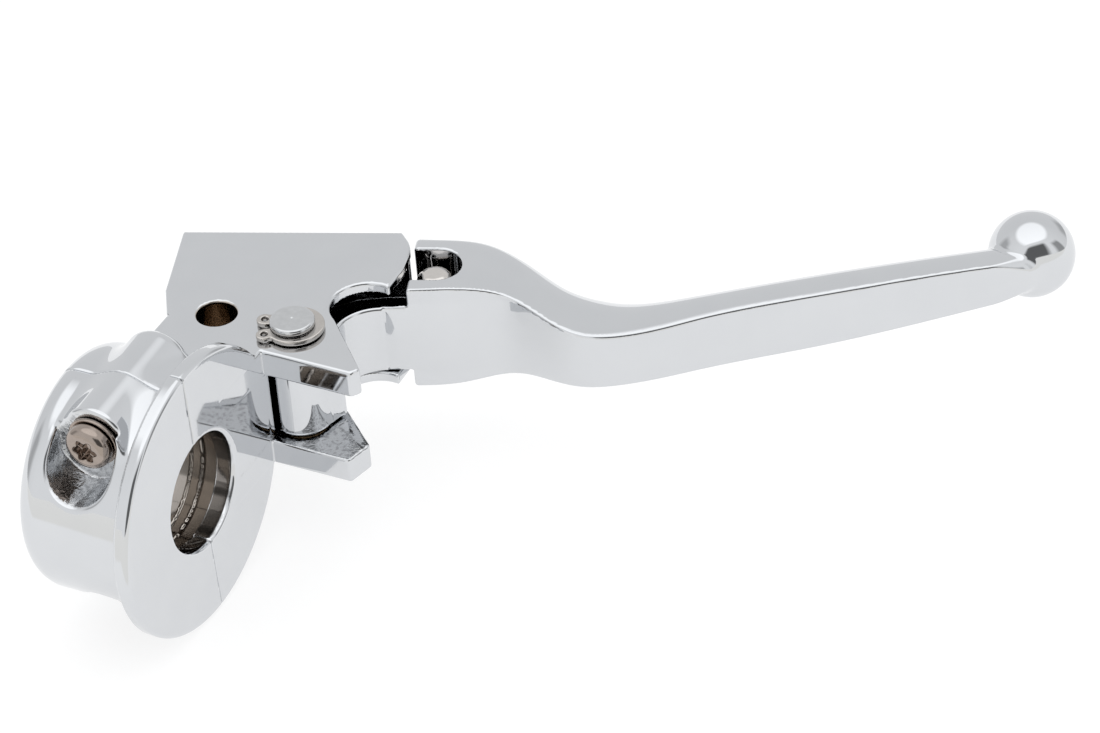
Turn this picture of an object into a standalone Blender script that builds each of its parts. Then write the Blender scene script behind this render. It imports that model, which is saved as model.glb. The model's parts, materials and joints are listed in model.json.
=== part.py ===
"""Motorcycle clutch lever on its handlebar perch, as separate closed solids.

Units are metres and +Z is up.  The origin is on the handlebar's centre line, at the outer
face of the clamp flange.  +X runs out along the bar towards the lever's ball end, +Y runs
away from the rider, and +Z is parallel to the lever's pivot pin.
"""
import math

import bmesh
import bpy
from mathutils import Matrix, Vector

MM = 0.001
FIT_GAP = 0.3 * MM              # gap between pieces that touch
CUT_REACH = 80 * MM             # how far cutters run past the metal

# Handlebar clamp, turned about the X axis
BAR_RADIUS = 12.7 * MM          # one-inch handlebar
BORE_CHAMFER = 0.5 * MM
BORE_LAND = 5.2 * MM            # grip land at each end of the bore
BORE_RELIEF = 13.8 * MM         # relieved middle of the bore
CLAMP_RADIUS = 26.0 * MM
CLAMP_LENGTH = 29.5 * MM
CLAMP_END_ROUND = 3.2 * MM      # how far in the end's rounding comes
CLAMP_END_SLOPE = 4.5 * MM      # how far along the barrel it starts
FLANGE_RADIUS = 30.9 * MM
FLANGE_THICKNESS = 3.4 * MM
FLANGE_ROUND = 1.2 * MM
FLANGE_FILLET = 2.0 * MM

# The clamp's parting plane and both screws lean by this much about the bar's axis
CLAMP_LEAN = math.radians(3.0)
PARTING_Y = -0.4 * MM

# Clamp screws, square to the parting plane
SCREW_X = -14.6 * MM
UPPER_SCREW_Z = 21.2 * MM
LOWER_SCREW_Z = -20.2 * MM
UPPER_SEAT_Y = -13.3 * MM
LOWER_SEAT_Y = -9.0 * MM
SCREW_RADIUS = 3.1 * MM
SCREW_HOLE_RADIUS = 3.5 * MM
SCREW_HEAD_RADIUS = 5.1 * MM
SCREW_HEAD_HEIGHT = 3.0 * MM
SCREW_CROWN = 1.6 * MM
SCREW_TIP_CHAMFER = 0.6 * MM
SOCKET_RADIUS = 2.4 * MM
SOCKET_DEPTH = 1.7 * MM
WASHER_RADIUS = 5.6 * MM
WASHER_THICKNESS = 0.9 * MM
UPPER_SCREW_REACH = 11.0 * MM   # how far each screw runs past the parting plane
LOWER_SCREW_REACH = 8.0 * MM
BOSS_RADIUS = 7.3 * MM
BOSS_FRONT_Y = -15.5 * MM
BOSS_BACK_Y = 15.4 * MM
BOSS_ROUND = 1.6 * MM
POCKET_X = -16.0 * MM           # the pocket is wider on the screw's inboard side
POCKET_RADIUS = 7.4 * MM
POCKET_LOW_Z = 18.0 * MM        # centre of the pocket's round lower end
LOWER_POCKET_RADIUS = 5.9 * MM

# Lever bracket: two ears that hold the pivot, joined by a web
EAR_TOP_Z = 17.0 * MM
EAR_BOTTOM_Z = -12.3 * MM
GAP_TOP_Z = 10.8 * MM
GAP_BOTTOM_Z = -6.4 * MM
THIN_TOP_Z = 14.5 * MM          # underside of the top plate behind the pivot
THIN_BOTTOM_Z = -9.0 * MM       # outer face of the lower plate behind the pivot
EAR_FRONT_Y = 27.4 * MM
EAR_FRONT_X = 20.9 * MM
EAR_CORNER = (22.3 * MM, 29.5 * MM)
EAR_BEVEL = 0.8 * MM
LOWER_EAR_FRONT_X = 18.5 * MM   # the lower ear has a longer cut across its corner
LOWER_EAR_CORNER = (20.0 * MM, 33.7 * MM)
BEVEL_ANGLE = math.radians(42)
WEB_LEFT_X = -24.6 * MM
WEB_FRONT_Y = 16.0 * MM
WEB_BACK_Y = 29.5 * MM
LEFT_CORNER = (-27.2 * MM, 35.6 * MM)
SCALLOP_CENTRE = (12.9 * MM, 49.6 * MM)
SCALLOP_RADIUS = 7.55 * MM
DIAGONAL_END = (6.4 * MM, 45.7 * MM)
NOSE_TIP = (14.3 * MM, 59.7 * MM)
NOSE_FRONT = (14.2 * MM, 64.0 * MM)
NOSE_SIDE = (13.3 * MM, 68.0 * MM)
NOSE_BACK = (11.8 * MM, 72.2 * MM)
GAP_FRONT_X = 0.1 * MM          # inboard end of the gap, towards the rider
STEP_Y = 45.5 * MM              # where both plates get thinner
STEP_CORNER_X = 7.8 * MM
STEP_NOSE = (12.5 * MM, 40.5 * MM)
MIRROR_HOLE = (-15.0 * MM, 35.7 * MM)
MIRROR_HOLE_RADIUS = 4.3 * MM

# The cable runs at this angle to X, this far from the origin, and at this height
CABLE_ANGLE = math.radians(20.5)
CABLE_V = 59.35 * MM
CABLE_Z = 2.2 * MM
CABLE_INLET_RADIUS = 4.9 * MM
CHANNEL_HALF_WIDTH = 5.2 * MM
CHANNEL_START_U = 4.0 * MM
BRACKET_END_U = -13.3 * MM
BRACKET_BACK_V = 67.87 * MM
BRACKET_BACK_U = 33.9 * MM
BRACKET_LEFT_V = 47.0 * MM

# Pivot
PIVOT = (2.87 * MM, 36.4 * MM)
PIN_RADIUS = 4.76 * MM
PIN_TOP_Z = 20.0 * MM
PIN_HEAD_RADIUS = 6.6 * MM
PIN_HEAD_HEIGHT = 1.4 * MM
PIN_EDGE = 0.5 * MM
RING_GROOVE_RADIUS = 4.1 * MM
RING_THICKNESS = 1.1 * MM
RING_RADIUS = 6.7 * MM
RING_OFFSET = 0.45 * MM         # the ring's band is widest opposite its gap
RING_EYE_RADIUS = 1.75 * MM
RING_EYE_HOLE = 0.8 * MM
RING_EYE_DISTANCE = 6.4 * MM
RING_GAP_ANGLE = 207.0          # degrees, the direction that the ring opens in
RING_EYE_ANGLE = 24.0
BUSHING_WALL = 0.5 * MM
HUB_RADIUS = 6.6 * MM
HUB_POCKET_RADIUS = 7.6 * MM

# Lever
LEVER_Z = 2.2 * MM
ARM_TOP_Z = 10.5 * MM
ARM_BOTTOM_Z = -6.1 * MM
ARM_HOLLOW_CENTRE = (15.6 * MM, 48.6 * MM)
ARM_HOLLOW_RADIUS = 9.2 * MM
ARM_FRONT_V = 49.6 * MM
ARM_BACK = [(11.5 * MM, 62.0 * MM), (5.5 * MM, 58.6 * MM), (0.5 * MM, 53.0 * MM), (-1.8 * MM, 46.0 * MM)]
BLOCK_U = 36.5 * MM             # inboard end of the lever's block
SLOT_END_U = 47.4 * MM
SLOT_HALF_WIDTH = 5.45 * MM
SLOT_FLOOR_Z = -6.5 * MM
ANCHOR_U = 41.4 * MM
ANCHOR_RADIUS = 3.9 * MM
ANCHOR_STEM_RADIUS = 3.0 * MM
ANCHOR_TOP_Z = 12.5 * MM
ANCHOR_BOTTOM_Z = -10.3 * MM
ANCHOR_WIRE_HOLE = 1.4 * MM
ANCHOR_CROWN = 2.2 * MM
BALL_CENTRE = (127.1 * MM, 134.5 * MM, 2.1 * MM)
BALL_RADIUS = 9.35 * MM

# Stations along the lever: the rider's-side point, the far-side point, half height, how
# square the section is (2 is an ellipse), and how far its crest is behind the rider's face.
# Millimetres.
LEVER_STATIONS = [
    ((16.9, 59.2), (9.8, 78.1), 12.7, 16.0, 0),
    ((20.4, 60.7), (14.8, 80.0), 12.7, 14.0, 0),
    ((27.3, 64.2), (24.8, 83.9), 12.2, 7.5, 0),
    ((34.8, 67.6), (33.9, 84.3), 10.5, 3.8, 1.0),
    ((44.7, 66.4), (43.4, 82.6), 8.4, 2.6, 2.2),
    ((54.6, 65.3), (50.1, 83.3), 7.1, 2.3, 3.0),
    ((62.1, 68.6), (55.3, 84.1), 6.8, 2.2, 3.2),
    ((75.2, 79.8), (67.2, 90.0), 7.0, 2.2, 3.2),
    ((95.0, 96.1), (87.5, 105.4), 7.0, 2.2, 3.2),
    ((115.2, 113.1), (108.3, 121.3), 6.0, 2.2, 3.0),
    ((130.8, 126.1), (124.4, 133.9), 4.6, 2.2, 2.6),
]
FRONT_SPREAD = 8.5 * MM         # half width of the curve that falls from the crest to the face
LOFT_STEPS = 4                  # sections between one station and the next
SECTION_POINTS = 14             # points round the far side of a section


# ---------------------------------------------------------------- scene and materials

def clear_scene():
    for obj in list(bpy.data.objects):
        bpy.data.objects.remove(obj, do_unlink=True)


def new_collection(name):
    collection = bpy.data.collections.new(name)
    bpy.context.scene.collection.children.link(collection)
    return collection


def make_material(name, colour, roughness):
    material = bpy.data.materials.new(name)
    material.use_nodes = True
    shader = material.node_tree.nodes["Principled BSDF"]
    shader.inputs["Base Color"].default_value = (*colour, 1.0)
    shader.inputs["Roughness"].default_value = roughness
    shader.inputs["Metallic"].default_value = 1.0
    return material


clear_scene()
PARTS = new_collection("clutch_lever")
CUTTERS = new_collection("cutters")
CLAMP_FRAME = bpy.data.objects.new("clamp_frame", None)
CLAMP_FRAME.rotation_euler.x = CLAMP_LEAN
PARTS.objects.link(CLAMP_FRAME)
CHROME = make_material("polished_chrome", (0.80, 0.81, 0.83), 0.06)
NICKEL = make_material("nickel_plated_steel", (0.62, 0.58, 0.54), 0.22)
STEEL = make_material("ground_steel", (0.60, 0.61, 0.63), 0.18)
BRONZE = make_material("oiled_bronze", (0.55, 0.38, 0.20), 0.35)


# ---------------------------------------------------------------- making solids

def add_object(name, mesh, material=None):
    """Put a mesh in the scene, as a part if it has a material and else as a cutter."""
    obj = bpy.data.objects.new(name, mesh)
    if material is None:
        CUTTERS.objects.link(obj)
        obj.hide_render = True
        obj.display_type = "WIRE"
    else:
        PARTS.objects.link(obj)
        mesh.materials.append(material)
    return obj


def along_cable(u, v):
    """XY of a point given by its distance along the cable and its distance across it."""
    cosine, sine = math.cos(CABLE_ANGLE), math.sin(CABLE_ANGLE)
    return (u * cosine - v * sine, u * sine + v * cosine)


def arc(centre, radius, start, end, count):
    """Points of an arc, with its angles in degrees."""
    points = []
    for step in range(count + 1):
        angle = math.radians(start + (end - start) * step / count)
        points.append((centre[0] + radius * math.cos(angle), centre[1] + radius * math.sin(angle)))
    return points


def round_corner(before, corner, after, radius, count=4):
    """Replace a corner with a curve that leaves it at a given distance on both sides."""
    corner = Vector(corner)
    start = corner + (Vector(before) - corner).normalized() * radius
    end = corner + (Vector(after) - corner).normalized() * radius
    points = []
    for step in range(count + 1):
        t = step / count
        point = start * (1 - t) ** 2 + corner * 2 * t * (1 - t) + end * t ** 2
        points.append(tuple(point))
    return points


def prism(name, outline, low_z, high_z, material=None):
    """A flat outline in XY, filled and given a height."""
    curve = bpy.data.curves.new(name, "CURVE")
    curve.dimensions = "2D"
    curve.fill_mode = "BOTH"
    curve.extrude = (high_z - low_z) / 2
    spline = curve.splines.new("POLY")
    spline.points.add(len(outline) - 1)
    for point, (x, y) in zip(spline.points, outline):
        point.co = (x, y, 0, 1)
    spline.use_cyclic_u = True
    guide = bpy.data.objects.new(name, curve)
    guide.location.z = (high_z + low_z) / 2
    bpy.context.scene.collection.objects.link(guide)
    bpy.context.view_layer.update()
    evaluated = guide.evaluated_get(bpy.context.evaluated_depsgraph_get())
    mesh = bpy.data.meshes.new_from_object(evaluated)
    mesh.transform(guide.matrix_world)
    bpy.data.objects.remove(guide, do_unlink=True)
    weld(mesh)
    return add_object(name, mesh, material)


def weld(mesh):
    """Join a mesh's loose caps to its sides and point its faces outwards."""
    bm = bmesh.new()
    bm.from_mesh(mesh)
    bmesh.ops.remove_doubles(bm, verts=bm.verts, dist=0.01 * MM)
    bmesh.ops.recalc_face_normals(bm, faces=bm.faces)
    bm.to_mesh(mesh)
    bm.free()


def turned(name, profile, steps=48, material=None):
    """Turn a profile of (radius, height), from the top down its outer side, about local Z.

    A profile that starts off the axis is closed into a ring.
    """
    mesh = bpy.data.meshes.new(name)
    is_ring = profile[0][0] > 0
    points = [(radius, 0, height) for radius, height in profile]
    edges = [(i, i + 1) for i in range(len(points) - 1)]
    if is_ring:
        edges.append((len(points) - 1, 0))
    mesh.from_pydata(points, edges, [])
    obj = add_object(name, mesh, material)
    screw = obj.modifiers.new("turn", "SCREW")
    screw.axis = "Z"
    screw.steps = steps
    screw.render_steps = steps
    screw.use_merge_vertices = True
    screw.merge_threshold = 0.01 * MM
    screw.use_smooth_shade = True
    return obj


def cylinder(name, radius, low, high, segments=32):
    """A cylinder about local Z between two heights."""
    mesh = bpy.data.meshes.new(name)
    bm = bmesh.new()
    bmesh.ops.create_cone(bm, cap_ends=True, segments=segments, radius1=radius,
                          radius2=radius, depth=high - low,
                          matrix=Matrix.Translation((0, 0, (high + low) / 2)))
    bm.to_mesh(mesh)
    bm.free()
    return add_object(name, mesh)


def box(name, low, high):
    mesh = bpy.data.meshes.new(name)
    size = Vector(high) - Vector(low)
    centre = (Vector(high) + Vector(low)) / 2
    bm = bmesh.new()
    bmesh.ops.create_cube(bm, size=1.0,
                          matrix=Matrix.Translation(centre) @ Matrix.Diagonal((*size, 1)))
    bm.to_mesh(mesh)
    bm.free()
    return add_object(name, mesh)


def point_along_x(obj):
    """Lay an object's local Z along +X."""
    obj.rotation_euler = (0, math.radians(90), 0)


def point_along_screw(obj, z):
    """Lay an object's local Z along a clamp screw that crosses the parting plane at height z."""
    obj.rotation_euler = (math.radians(-90), 0, 0)
    obj.location = (SCREW_X, 0, z)
    obj.parent = CLAMP_FRAME


def point_along_cable(obj, u, v, z):
    """Lay an object's local Z along the cable."""
    obj.rotation_euler = (0, math.radians(90), CABLE_ANGLE)
    obj.location = (*along_cable(u, v), z)


def combine(target, tool, operation):
    """Add a Boolean modifier: UNION adds the tool, DIFFERENCE cuts with it."""
    modifier = target.modifiers.new(tool.name, "BOOLEAN")
    modifier.operation = operation
    modifier.solver = "EXACT"
    modifier.object = tool


def move_origin(obj, point):
    """Put an object's origin at a point without moving its shape."""
    obj.data.transform(Matrix.Translation(-Vector(point)))
    obj.location = point


# ---------------------------------------------------------------- handlebar clamp

def clamp_profile():
    """The clamp's outer shape: flange, fillet, barrel and rounded inboard end."""
    profile = [(0, 0)]
    profile += arc((FLANGE_RADIUS - FLANGE_ROUND, -FLANGE_ROUND), FLANGE_ROUND, 90, 0, 3)
    rear_round = FLANGE_ROUND / 2
    profile += arc((FLANGE_RADIUS - rear_round, rear_round - FLANGE_THICKNESS), rear_round, 0, -90, 2)
    fillet_centre = (CLAMP_RADIUS + FLANGE_FILLET, -FLANGE_THICKNESS - FLANGE_FILLET)
    profile += arc(fillet_centre, FLANGE_FILLET, 90, 180, 4)
    for radius, height in arc((0, 0), 1.0, 0, -90, 5):
        profile.append((CLAMP_RADIUS - CLAMP_END_ROUND * (1 - radius),
                        CLAMP_END_SLOPE * (1 + height) - CLAMP_LENGTH))
    profile.append((0, -CLAMP_LENGTH))
    return profile


def cut_bar_bore(target, name):
    """Bore for the handlebar, with a grip land at each end and chamfered mouths."""
    mouth = BAR_RADIUS + BORE_CHAMFER
    step = BORE_RELIEF - BAR_RADIUS
    land_end = CLAMP_LENGTH - BORE_LAND
    profile = [
        (0, CUT_REACH), (mouth, CUT_REACH), (mouth, 0), (BAR_RADIUS, -BORE_CHAMFER),
        (BAR_RADIUS, -BORE_LAND), (BORE_RELIEF, -BORE_LAND - step),
        (BORE_RELIEF, step - land_end), (BAR_RADIUS, -land_end),
        (BAR_RADIUS, BORE_CHAMFER - CLAMP_LENGTH), (mouth, -CLAMP_LENGTH),
        (mouth, -CUT_REACH), (0, -CUT_REACH),
    ]
    bore = turned(name, profile)
    point_along_x(bore)
    combine(target, bore, "DIFFERENCE")


def keep_side(target, name, side):
    """Keep one side of the parting plane: +1 is away from the rider, -1 is towards them."""
    edge = PARTING_Y + side * FIT_GAP / 2
    far = -side * CUT_REACH
    low = (-CUT_REACH, min(edge, far), -CUT_REACH)
    high = (CUT_REACH, max(edge, far), CUT_REACH)
    other_half = box(name, low, high)
    other_half.parent = CLAMP_FRAME
    combine(target, other_half, "DIFFERENCE")


def screw_boss(name):
    boss = cylinder(name, BOSS_RADIUS, BOSS_FRONT_Y, BOSS_BACK_Y, 40)
    bevel = boss.modifiers.new("round_ends", "BEVEL")
    bevel.width = BOSS_ROUND
    bevel.segments = 2
    bevel.angle_limit = math.radians(60)
    point_along_screw(boss, UPPER_SCREW_Z)
    return boss


def cut_screw_hole(target, name, z, low_y, high_y):
    hole = cylinder(name, SCREW_HOLE_RADIUS, low_y, high_y, 24)
    point_along_screw(hole, z)
    combine(target, hole, "DIFFERENCE")


def cut_upper_pocket(target):
    """An oblong pocket for the upper screw's head, open towards the rider and upwards."""
    outline = arc((POCKET_X, POCKET_LOW_Z), POCKET_RADIUS, 180, 360, 16)
    outline += [(POCKET_X + POCKET_RADIUS, CUT_REACH), (POCKET_X - POCKET_RADIUS, CUT_REACH)]
    pocket = prism("upper_pocket", outline, -UPPER_SEAT_Y, CUT_REACH)
    pocket.rotation_euler = (math.radians(90), 0, 0)
    pocket.parent = CLAMP_FRAME
    combine(target, pocket, "DIFFERENCE")


def cut_lower_pocket(target):
    pocket = cylinder("lower_pocket", LOWER_POCKET_RADIUS, -CUT_REACH, LOWER_SEAT_Y)
    point_along_screw(pocket, LOWER_SCREW_Z)
    combine(target, pocket, "DIFFERENCE")


def clamp_cap():
    """The rider's half of the handlebar clamp."""
    cap = turned("clamp_cap", clamp_profile(), 64, CHROME)
    point_along_x(cap)
    combine(cap, screw_boss("cap_boss"), "UNION")
    cut_bar_bore(cap, "cap_bore")
    keep_side(cap, "cap_parting", -1)
    cut_upper_pocket(cap)
    cut_lower_pocket(cap)
    cut_screw_hole(cap, "cap_upper_hole", UPPER_SCREW_Z, -CUT_REACH, CUT_REACH)
    cut_screw_hole(cap, "cap_lower_hole", LOWER_SCREW_Z, -CUT_REACH, CUT_REACH)
    return cap


# ---------------------------------------------------------------- lever bracket

def bracket_outline():
    """The bracket seen from above, the same for both ears."""
    back_right = along_cable(BRACKET_BACK_U, BRACKET_BACK_V)
    back_left = along_cable(BRACKET_END_U, BRACKET_BACK_V)
    left_end = along_cable(BRACKET_END_U - 0.5 * MM, BRACKET_LEFT_V)
    ear_front = (EAR_FRONT_X, EAR_FRONT_Y)
    outline = [(WEB_LEFT_X, WEB_FRONT_Y), (0, WEB_FRONT_Y), (0, EAR_FRONT_Y)]
    outline += round_corner((0, EAR_FRONT_Y), ear_front, EAR_CORNER, 1.1 * MM, 2)
    outline += round_corner(ear_front, EAR_CORNER, DIAGONAL_END, 1.1 * MM, 2)
    outline += arc(SCALLOP_CENTRE, SCALLOP_RADIUS, 211, 79, 16)
    outline += [NOSE_TIP]
    outline += round_corner(NOSE_TIP, NOSE_FRONT, NOSE_SIDE, 2.5 * MM, 2)
    outline += round_corner(NOSE_SIDE, NOSE_BACK, back_right, 3.6 * MM, 4)
    outline += [back_right, back_left, left_end, LEFT_CORNER, (WEB_LEFT_X, WEB_BACK_Y)]
    return outline


def cut_lever_gap(target):
    """The space between the ears: a round pocket for the hub, then room for the arm."""
    near_v = CABLE_V - CHANNEL_HALF_WIDTH
    far_v = CABLE_V + CHANNEL_HALF_WIDTH
    hub_left_x = PIVOT[0] - HUB_POCKET_RADIUS
    front = [(GAP_FRONT_X, 20 * MM), (CUT_REACH, 20 * MM)]
    hub = arc(PIVOT, HUB_POCKET_RADIUS, 180, 256, 8)
    channel = [along_cable(CUT_REACH, far_v), along_cable(CHANNEL_START_U, far_v),
               along_cable(CHANNEL_START_U, near_v)]
    outline = hub + front + channel + [(hub_left_x, 46 * MM)]
    gap = prism("lever_gap", outline, GAP_BOTTOM_Z, GAP_TOP_Z)
    combine(target, gap, "DIFFERENCE")
    thin = [(hub_left_x, STEP_Y), (STEP_CORNER_X, STEP_Y), STEP_NOSE, (CUT_REACH, STEP_NOSE[1])] + channel
    hollow = prism("rear_hollow", thin, 0, THIN_TOP_Z)
    combine(target, hollow, "DIFFERENCE")


def cut_lower_step(target):
    """The lower plate is thinner behind the pivot."""
    far = 2 * CUT_REACH
    outline = [(-CUT_REACH, 30 * MM), (-27 * MM, 44 * MM), (-7 * MM, STEP_Y), (STEP_CORNER_X, STEP_Y)]
    outline += [STEP_NOSE, (CUT_REACH, STEP_NOSE[1]), (CUT_REACH, far), (-CUT_REACH, far)]
    step = prism("lower_step", outline, -CUT_REACH, THIN_BOTTOM_Z)
    combine(target, step, "DIFFERENCE")


def shape_lower_ear(target):
    """The lower ear reaches further out than the upper one, with its corner cut across."""
    front = (LOWER_EAR_FRONT_X, EAR_FRONT_Y)
    outline = [(0, EAR_FRONT_Y), front, LOWER_EAR_CORNER, DIAGONAL_END, (0, DIAGONAL_END[1])]
    combine(target, prism("lower_ear", outline, EAR_BOTTOM_Z, 0), "UNION")
    x = LOWER_EAR_CORNER[0] + 10 * MM
    y = EAR_FRONT_Y - 5 * MM
    off = [(LOWER_EAR_FRONT_X, y), front, LOWER_EAR_CORNER, (x, LOWER_EAR_CORNER[1]), (x, y)]
    combine(target, prism("lower_ear_corner", off, -CUT_REACH, 0), "DIFFERENCE")


def cut_ear_bevel(target):
    """A flat bevel along the top ear's front edge."""
    size = 8 * MM
    bevel = box("ear_bevel", (0.02 * MM, -size, 0), (CUT_REACH, size, size))
    bevel.rotation_euler.x = BEVEL_ANGLE
    bevel.location = (0, EAR_FRONT_Y + EAR_BEVEL, EAR_TOP_Z)
    combine(target, bevel, "DIFFERENCE")


def cut_vertical_hole(target, name, centre, radius, high=CUT_REACH):
    hole = cylinder(name, radius, -CUT_REACH, high, 40)
    hole.location = (*centre, 0)
    combine(target, hole, "DIFFERENCE")


def perch_bracket():
    """The bracket with its half of the handlebar clamp, in one casting."""
    bracket = prism("perch_bracket", bracket_outline(), EAR_BOTTOM_Z, EAR_TOP_Z, CHROME)
    barrel = turned("bracket_barrel", clamp_profile(), 64)
    point_along_x(barrel)
    combine(bracket, barrel, "UNION")
    combine(bracket, screw_boss("bracket_boss"), "UNION")
    shape_lower_ear(bracket)
    cut_bar_bore(bracket, "bracket_bore")
    keep_side(bracket, "bracket_parting", 1)
    cut_lever_gap(bracket)
    cut_lower_step(bracket)
    cut_ear_bevel(bracket)
    cut_vertical_hole(bracket, "mirror_hole", MIRROR_HOLE, MIRROR_HOLE_RADIUS)
    cut_vertical_hole(bracket, "pivot_hole", PIVOT, PIN_RADIUS + FIT_GAP)
    inlet = cylinder("cable_inlet", CABLE_INLET_RADIUS, -CUT_REACH, CHANNEL_START_U + 2 * MM, 40)
    point_along_cable(inlet, 0, CABLE_V, CABLE_Z)
    combine(bracket, inlet, "DIFFERENCE")
    cut_screw_hole(bracket, "upper_thread", UPPER_SCREW_Z, -5 * MM, UPPER_SCREW_REACH + MM)
    cut_screw_hole(bracket, "lower_thread", LOWER_SCREW_Z, -5 * MM, LOWER_SCREW_REACH + MM)
    return bracket


# ---------------------------------------------------------------- screws and washers

def clamp_screw(name, z, seat_y, reach):
    """A button-head screw that runs along +Y from its head."""
    under_head = seat_y - WASHER_THICKNESS - 2 * FIT_GAP
    top = under_head - SCREW_HEAD_HEIGHT
    profile = [(0, reach), (SCREW_RADIUS - SCREW_TIP_CHAMFER, reach),
               (SCREW_RADIUS, reach - SCREW_TIP_CHAMFER),
               (SCREW_RADIUS, under_head), (SCREW_HEAD_RADIUS, under_head)]
    crown_centre = (SCREW_HEAD_RADIUS - SCREW_CROWN, top + SCREW_CROWN)
    profile += arc(crown_centre, SCREW_CROWN, 0, -90, 4)
    profile.append((0, top))
    screw = turned(name, profile, 32, NICKEL)
    point_along_screw(screw, z)
    socket = cylinder(name + "_socket", SOCKET_RADIUS, top - MM, top + SOCKET_DEPTH, 6)
    point_along_screw(socket, z)
    combine(screw, socket, "DIFFERENCE")
    return screw


def washer(name, z, seat_y):
    low = seat_y - WASHER_THICKNESS - FIT_GAP
    high = seat_y - FIT_GAP
    inner = SCREW_RADIUS + FIT_GAP
    ring = [(inner, high), (WASHER_RADIUS, high), (WASHER_RADIUS, low), (inner, low)]
    disc = turned(name, ring, 32, NICKEL)
    point_along_screw(disc, z)
    return disc


# ---------------------------------------------------------------- pivot

def pivot_pin():
    """A headed pin from below, with a groove for the retaining ring at its top."""
    head_top = EAR_BOTTOM_Z - FIT_GAP
    head_bottom = head_top - PIN_HEAD_HEIGHT
    groove_low = EAR_TOP_Z
    groove_high = groove_low + RING_THICKNESS + 2 * FIT_GAP
    profile = [
        (0, PIN_TOP_Z), (PIN_RADIUS - PIN_EDGE, PIN_TOP_Z), (PIN_RADIUS, PIN_TOP_Z - PIN_EDGE),
        (PIN_RADIUS, groove_high), (RING_GROOVE_RADIUS, groove_high),
        (RING_GROOVE_RADIUS, groove_low), (PIN_RADIUS, groove_low), (PIN_RADIUS, head_top),
        (PIN_HEAD_RADIUS, head_top), (PIN_HEAD_RADIUS, head_bottom + PIN_EDGE),
        (PIN_HEAD_RADIUS - PIN_EDGE, head_bottom), (0, head_bottom),
    ]
    pin = turned("pivot_pin", profile, 40, STEEL)
    pin.location = (*PIVOT, 0)
    return pin


def retaining_ring():
    """An external snap ring: a band that is open between its two eyes."""
    low = EAR_TOP_Z + FIT_GAP
    high = low + RING_THICKNESS
    inner = RING_GROOVE_RADIUS + FIT_GAP
    outer = arc((RING_OFFSET, 0), RING_RADIUS - RING_OFFSET, -160, 160, 32)
    ring = prism("retaining_ring", outer + arc((0, 0), inner, 158, -158, 32), low, high, NICKEL)
    ring.location = (*PIVOT, 0)
    ring.rotation_euler.z = math.radians(RING_GAP_ANGLE - 180)
    for side in (-1, 1):
        angle = math.radians(RING_GAP_ANGLE + side * RING_EYE_ANGLE)
        centre = (PIVOT[0] + RING_EYE_DISTANCE * math.cos(angle),
                  PIVOT[1] + RING_EYE_DISTANCE * math.sin(angle))
        for radius, operation in ((RING_EYE_RADIUS, "UNION"), (RING_EYE_HOLE, "DIFFERENCE")):
            grow = 0 if operation == "UNION" else MM
            eye = cylinder(f"ring_eye_{operation}_{side}", radius, low - grow, high + grow, 20)
            eye.location = (*centre, 0)
            combine(ring, eye, operation)
    return ring


def pivot_bushing():
    inner = PIN_RADIUS + FIT_GAP
    outer = inner + BUSHING_WALL
    sleeve = [(inner, ARM_TOP_Z), (outer, ARM_TOP_Z), (outer, ARM_BOTTOM_Z), (inner, ARM_BOTTOM_Z)]
    bushing = turned("pivot_bushing", sleeve, 40, BRONZE)
    bushing.location = (*PIVOT, 0)
    return bushing


# ---------------------------------------------------------------- lever

def spline_value(values, position):
    """Catmull-Rom value at a position along a list of Vectors."""
    index = min(int(position), len(values) - 2)
    t = position - index
    before = values[max(index - 1, 0)]
    start, end = values[index], values[index + 1]
    after = values[min(index + 2, len(values) - 1)]
    return 0.5 * (2 * start + (end - before) * t + (2 * before - 5 * start + 4 * end - after) * t ** 2
                  + (3 * start - before - 3 * end + after) * t ** 3)


def lever_section(front, back, half_height, squareness, crest):
    """One upright section: flat on the rider's side, domed on the far side."""
    depth = (back - front).length
    across = (back - front) / depth
    past_crest = math.asin((crest / FRONT_SPREAD) ** (squareness / 2))
    power = 2 / squareness
    points = []
    for step in range(SECTION_POINTS + 1):
        angle = (math.pi + 2 * past_crest) * step / SECTION_POINTS - past_crest
        reach = math.copysign(abs(math.sin(angle)) ** power, math.sin(angle))
        rise = math.copysign(abs(math.cos(angle)) ** power, math.cos(angle))
        spread = FRONT_SPREAD if reach < 0 else depth - crest
        place = front + across * (crest + reach * spread)
        points.append((place.x, place.y, LEVER_Z + half_height * rise))
    return points


def lever_loft():
    """Sections along the lever, skinned with quads and closed at both ends."""
    stations = [Vector((*front, *back)) * MM for front, back, _, _, _ in LEVER_STATIONS]
    shapes = [Vector((height * MM, squareness, crest * MM))
              for _, _, height, squareness, crest in LEVER_STATIONS]
    bm = bmesh.new()
    rings = []
    for step in range((len(stations) - 1) * LOFT_STEPS + 1):
        position = step / LOFT_STEPS
        place = spline_value(stations, position)
        shape = spline_value(shapes, position)
        section = lever_section(place.xy, place.zw, shape.x, shape.y, max(shape.z, 0))
        rings.append([bm.verts.new(point) for point in section])
    for ring, following in zip(rings, rings[1:]):
        for i in range(len(ring)):
            j = (i + 1) % len(ring)
            bm.faces.new((ring[i], ring[j], following[j], following[i]))
    bm.faces.new(reversed(rings[0]))
    bm.faces.new(rings[-1])
    bmesh.ops.recalc_face_normals(bm, faces=bm.faces)
    mesh = bpy.data.meshes.new("clutch_lever")
    bm.to_mesh(mesh)
    bm.free()
    return mesh


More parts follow.
